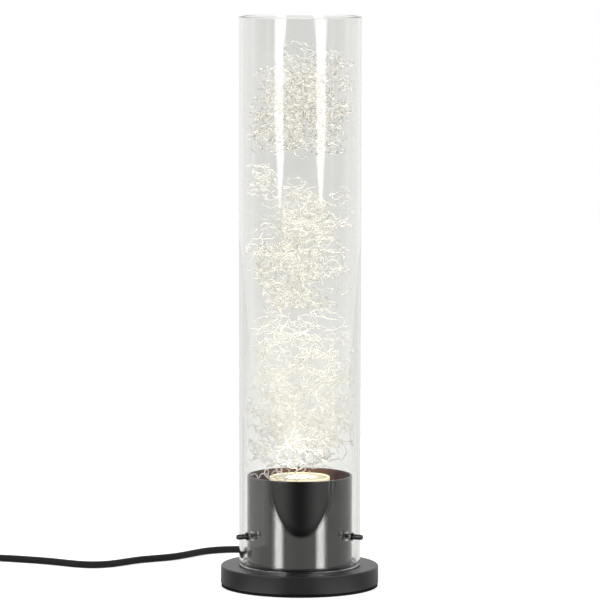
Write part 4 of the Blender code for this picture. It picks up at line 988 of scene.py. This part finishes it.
near_base = ramp(tree, distance_from(tree, place, 0.0, 0.0), near_start, near_end, 1.0, 0.0, "SMOOTHSTEP")
off_glass = maths(tree, "SUBTRACT", 1.0, through_glass)
near_base = product(tree, near_base, off_glass, band(tree, streak_turn, *near_band))
shine = maths(tree, "ADD", streak, near_base)
for limits in shine_steps:
    shine = maths(tree, "ADD", shine, turn_step(tree, streak_turn, *limits))
off_table = maths(tree, "SUBTRACT", 1.0, on_table)
gloss = maths(tree, "ADD", product(tree, shine, on_table), product(tree, room, below_edge, off_table))
mixed_surface(tree, mirrored_rays(tree), shader, added(tree, "ShaderNodeEmission", Strength=gloss))
table.data.materials.append(pale)


def reflected_only(obj, material):
    """Studio gear that shows only by way of gloss and glass, and casts no shadow."""
    obj.data.materials.append(material)
    obj.visible_camera = False
    obj.visible_diffuse = False
    obj.visible_shadow = False


def strip_light(name, side, rows, strength):
    """A strip light round the lamp, from (height, first turn, last turn) rows in degrees."""
    corners = []
    for height, first, last in rows:
        for degrees in (first, last):
            turn = math.radians(degrees)
            corners.append((side * strip_distance * math.sin(turn), -strip_distance * math.cos(turn), height))
    faces = [(2 * row, 2 * row + 1, 2 * row + 3, 2 * row + 2) for row in range(len(rows) - 1)]
    material, tree, shader = new_material(name)
    tree.nodes.remove(shader)
    low = rows[0][0]
    fade = ramp(tree, place_parts(tree)["Z"], low, low + strip_fade, 0.0, strength, "SMOOTHSTEP")
    light = added(tree, "ShaderNodeEmission", Strength=fade)
    fill(tree, tree.nodes["Material Output"], light.outputs["Emission"])
    reflected_only(from_points(name, corners, [], faces), material)


strip_distance = 1.2
strip_fade = 0.032
strip_strength = 4.2
card_strength = 3.0
left_rows = (
    (0.217, 38.4, 40.2), (0.281, 32.0, 44.8), (0.322, 32.4, 49.2),
    (0.405, 32.4, 49.2), (0.43, 26.4, 48.8), (0.9, 26.4, 48.8),
)
right_rows = (
    (0.215, 38.2, 40.2), (0.281, 33.0, 46.0), (0.322, 30.6, 48.8),
    (0.405, 30.6, 48.8), (0.43, 30.0, 51.4), (0.9, 30.0, 51.4),
)
high_rows = ((0.48, 46.0, 84.0), (1.1, 46.0, 84.0))
strip_light("left_strip", -1, left_rows, strip_strength)
strip_light("right_strip", 1, right_rows, strip_strength)
strip_light("left_card", -1, high_rows, card_strength)
strip_light("right_card", 1, high_rows, card_strength)

screen_x = -0.268
screen_front, screen_back = -0.12, 0.26
screen_top = 0.10
screen_strength = 0.60
screen_corners = [(screen_x, y, 0.0) for y in (screen_front, screen_back)]
screen_corners += [(screen_x, y, screen_top) for y in (screen_back, screen_front)]
screen = from_points("screen_card", screen_corners, [], [(0, 1, 2, 3)])
screen_glow, tree, shader = new_material("screen_card")
tree.nodes.remove(shader)
clear = added(tree, "ShaderNodeBsdfTransparent")
light = added(tree, "ShaderNodeEmission", Strength=screen_strength)
mixed_surface(tree, mirrored_rays(tree), clear, light)
reflected_only(screen, screen_glow)

ambient = 0.62
world = bpy.data.worlds.new("studio")
bpy.context.scene.world = world
world.use_nodes = True
tree = world.node_tree
place = place_parts(tree, "Generated")
room = room_light(tree, place["X"], place["Y"])
plain = ramp(tree, seen_rays(tree), low=ambient)
level = added(tree, "ShaderNodeMix", Factor=mirrored_rays(tree), A=plain, B=room)
fill(tree, tree.nodes["Background"], Color=white, Strength=level.outputs["Result"])


def soft_light(name, size, power, place):
    """A square soft light that points at the middle of the lamp."""
    data = bpy.data.lights.new(name, "AREA")
    data.size = size
    data.energy = power
    obj = in_scene(name, data)
    obj.location = place
    obj.rotation_euler = (Vector(lamp_middle) - Vector(place)).to_track_quat("-Z", "Y").to_euler()
    obj.visible_camera = False


lamp_middle = (0.0, 0.0, 0.2)
soft_light("left_light", 0.9, 14.0, (-1.5, -1.4, 1.3))
soft_light("right_light", 0.9, 14.0, (1.5, -1.4, 1.3))
soft_light("top_light", 1.2, 10.0, (0.0, 0.4, 2.0))
soft_light("mouth_light", 0.05, 0.05, (0.0, 0.0, 0.56))
glow_radius = 0.020
glow_colour = (1.0, 0.92, 0.79)
glow_rows = (
    ("bulb_light", 0.0004, 0.03, 95, False),
    ("bulb_glow", 0.0005, 2.6, 150, True),
    ("bulb_beam", 0.0006, 1.9, 60, True),
)
for name, gap, power, spread, even in glow_rows:
    glow_light = bpy.data.lights.new(name, "AREA")
    glow_light.shape = "DISK"
    glow_light.size = 2 * glow_radius
    glow_light.energy = power
    glow_light.color = glow_colour
    glow_light.spread = math.radians(spread)
    if even:
        glow_light.use_shadow = False
        glow_light.use_nodes = True
        tree = glow_light.node_tree
        falloff = added(tree, "ShaderNodeLightFalloff", Strength=1.0)
        fill(tree, tree.nodes["Emission"], Strength=falloff.outputs["Constant"])
    glow_lamp = in_scene(name, glow_light)
    glow_lamp.location = (0.0, 0.0, lens_high.z + gap)
    glow_lamp.rotation_euler = (math.pi, 0.0, 0.0)
    glow_lamp.visible_camera = False
    glow_lamp.visible_transmission = False

# Camera: where the photograph was taken from, fitted to the outlines of glass, cup and base. It looks
# slightly down, through a long lens.
camera_place = (0.0, -3.5, 0.5861)
camera_pitch = math.radians(90 - 5.669)
camera_roll = math.radians(0.09)
camera_data = bpy.data.cameras.new("camera")
camera_data.lens = 254.75
camera_data.sensor_width = 36.0
camera_data.clip_end = 50.0
camera = in_scene("camera", camera_data)
camera.matrix_world = (
    Matrix.Translation(camera_place)
    @ Matrix.Rotation(camera_pitch, 4, "X")
    @ Matrix.Rotation(camera_roll, 4, "Z")
)
bpy.context.scene.camera = camera
bpy.context.scene.view_settings.view_transform = "Standard"
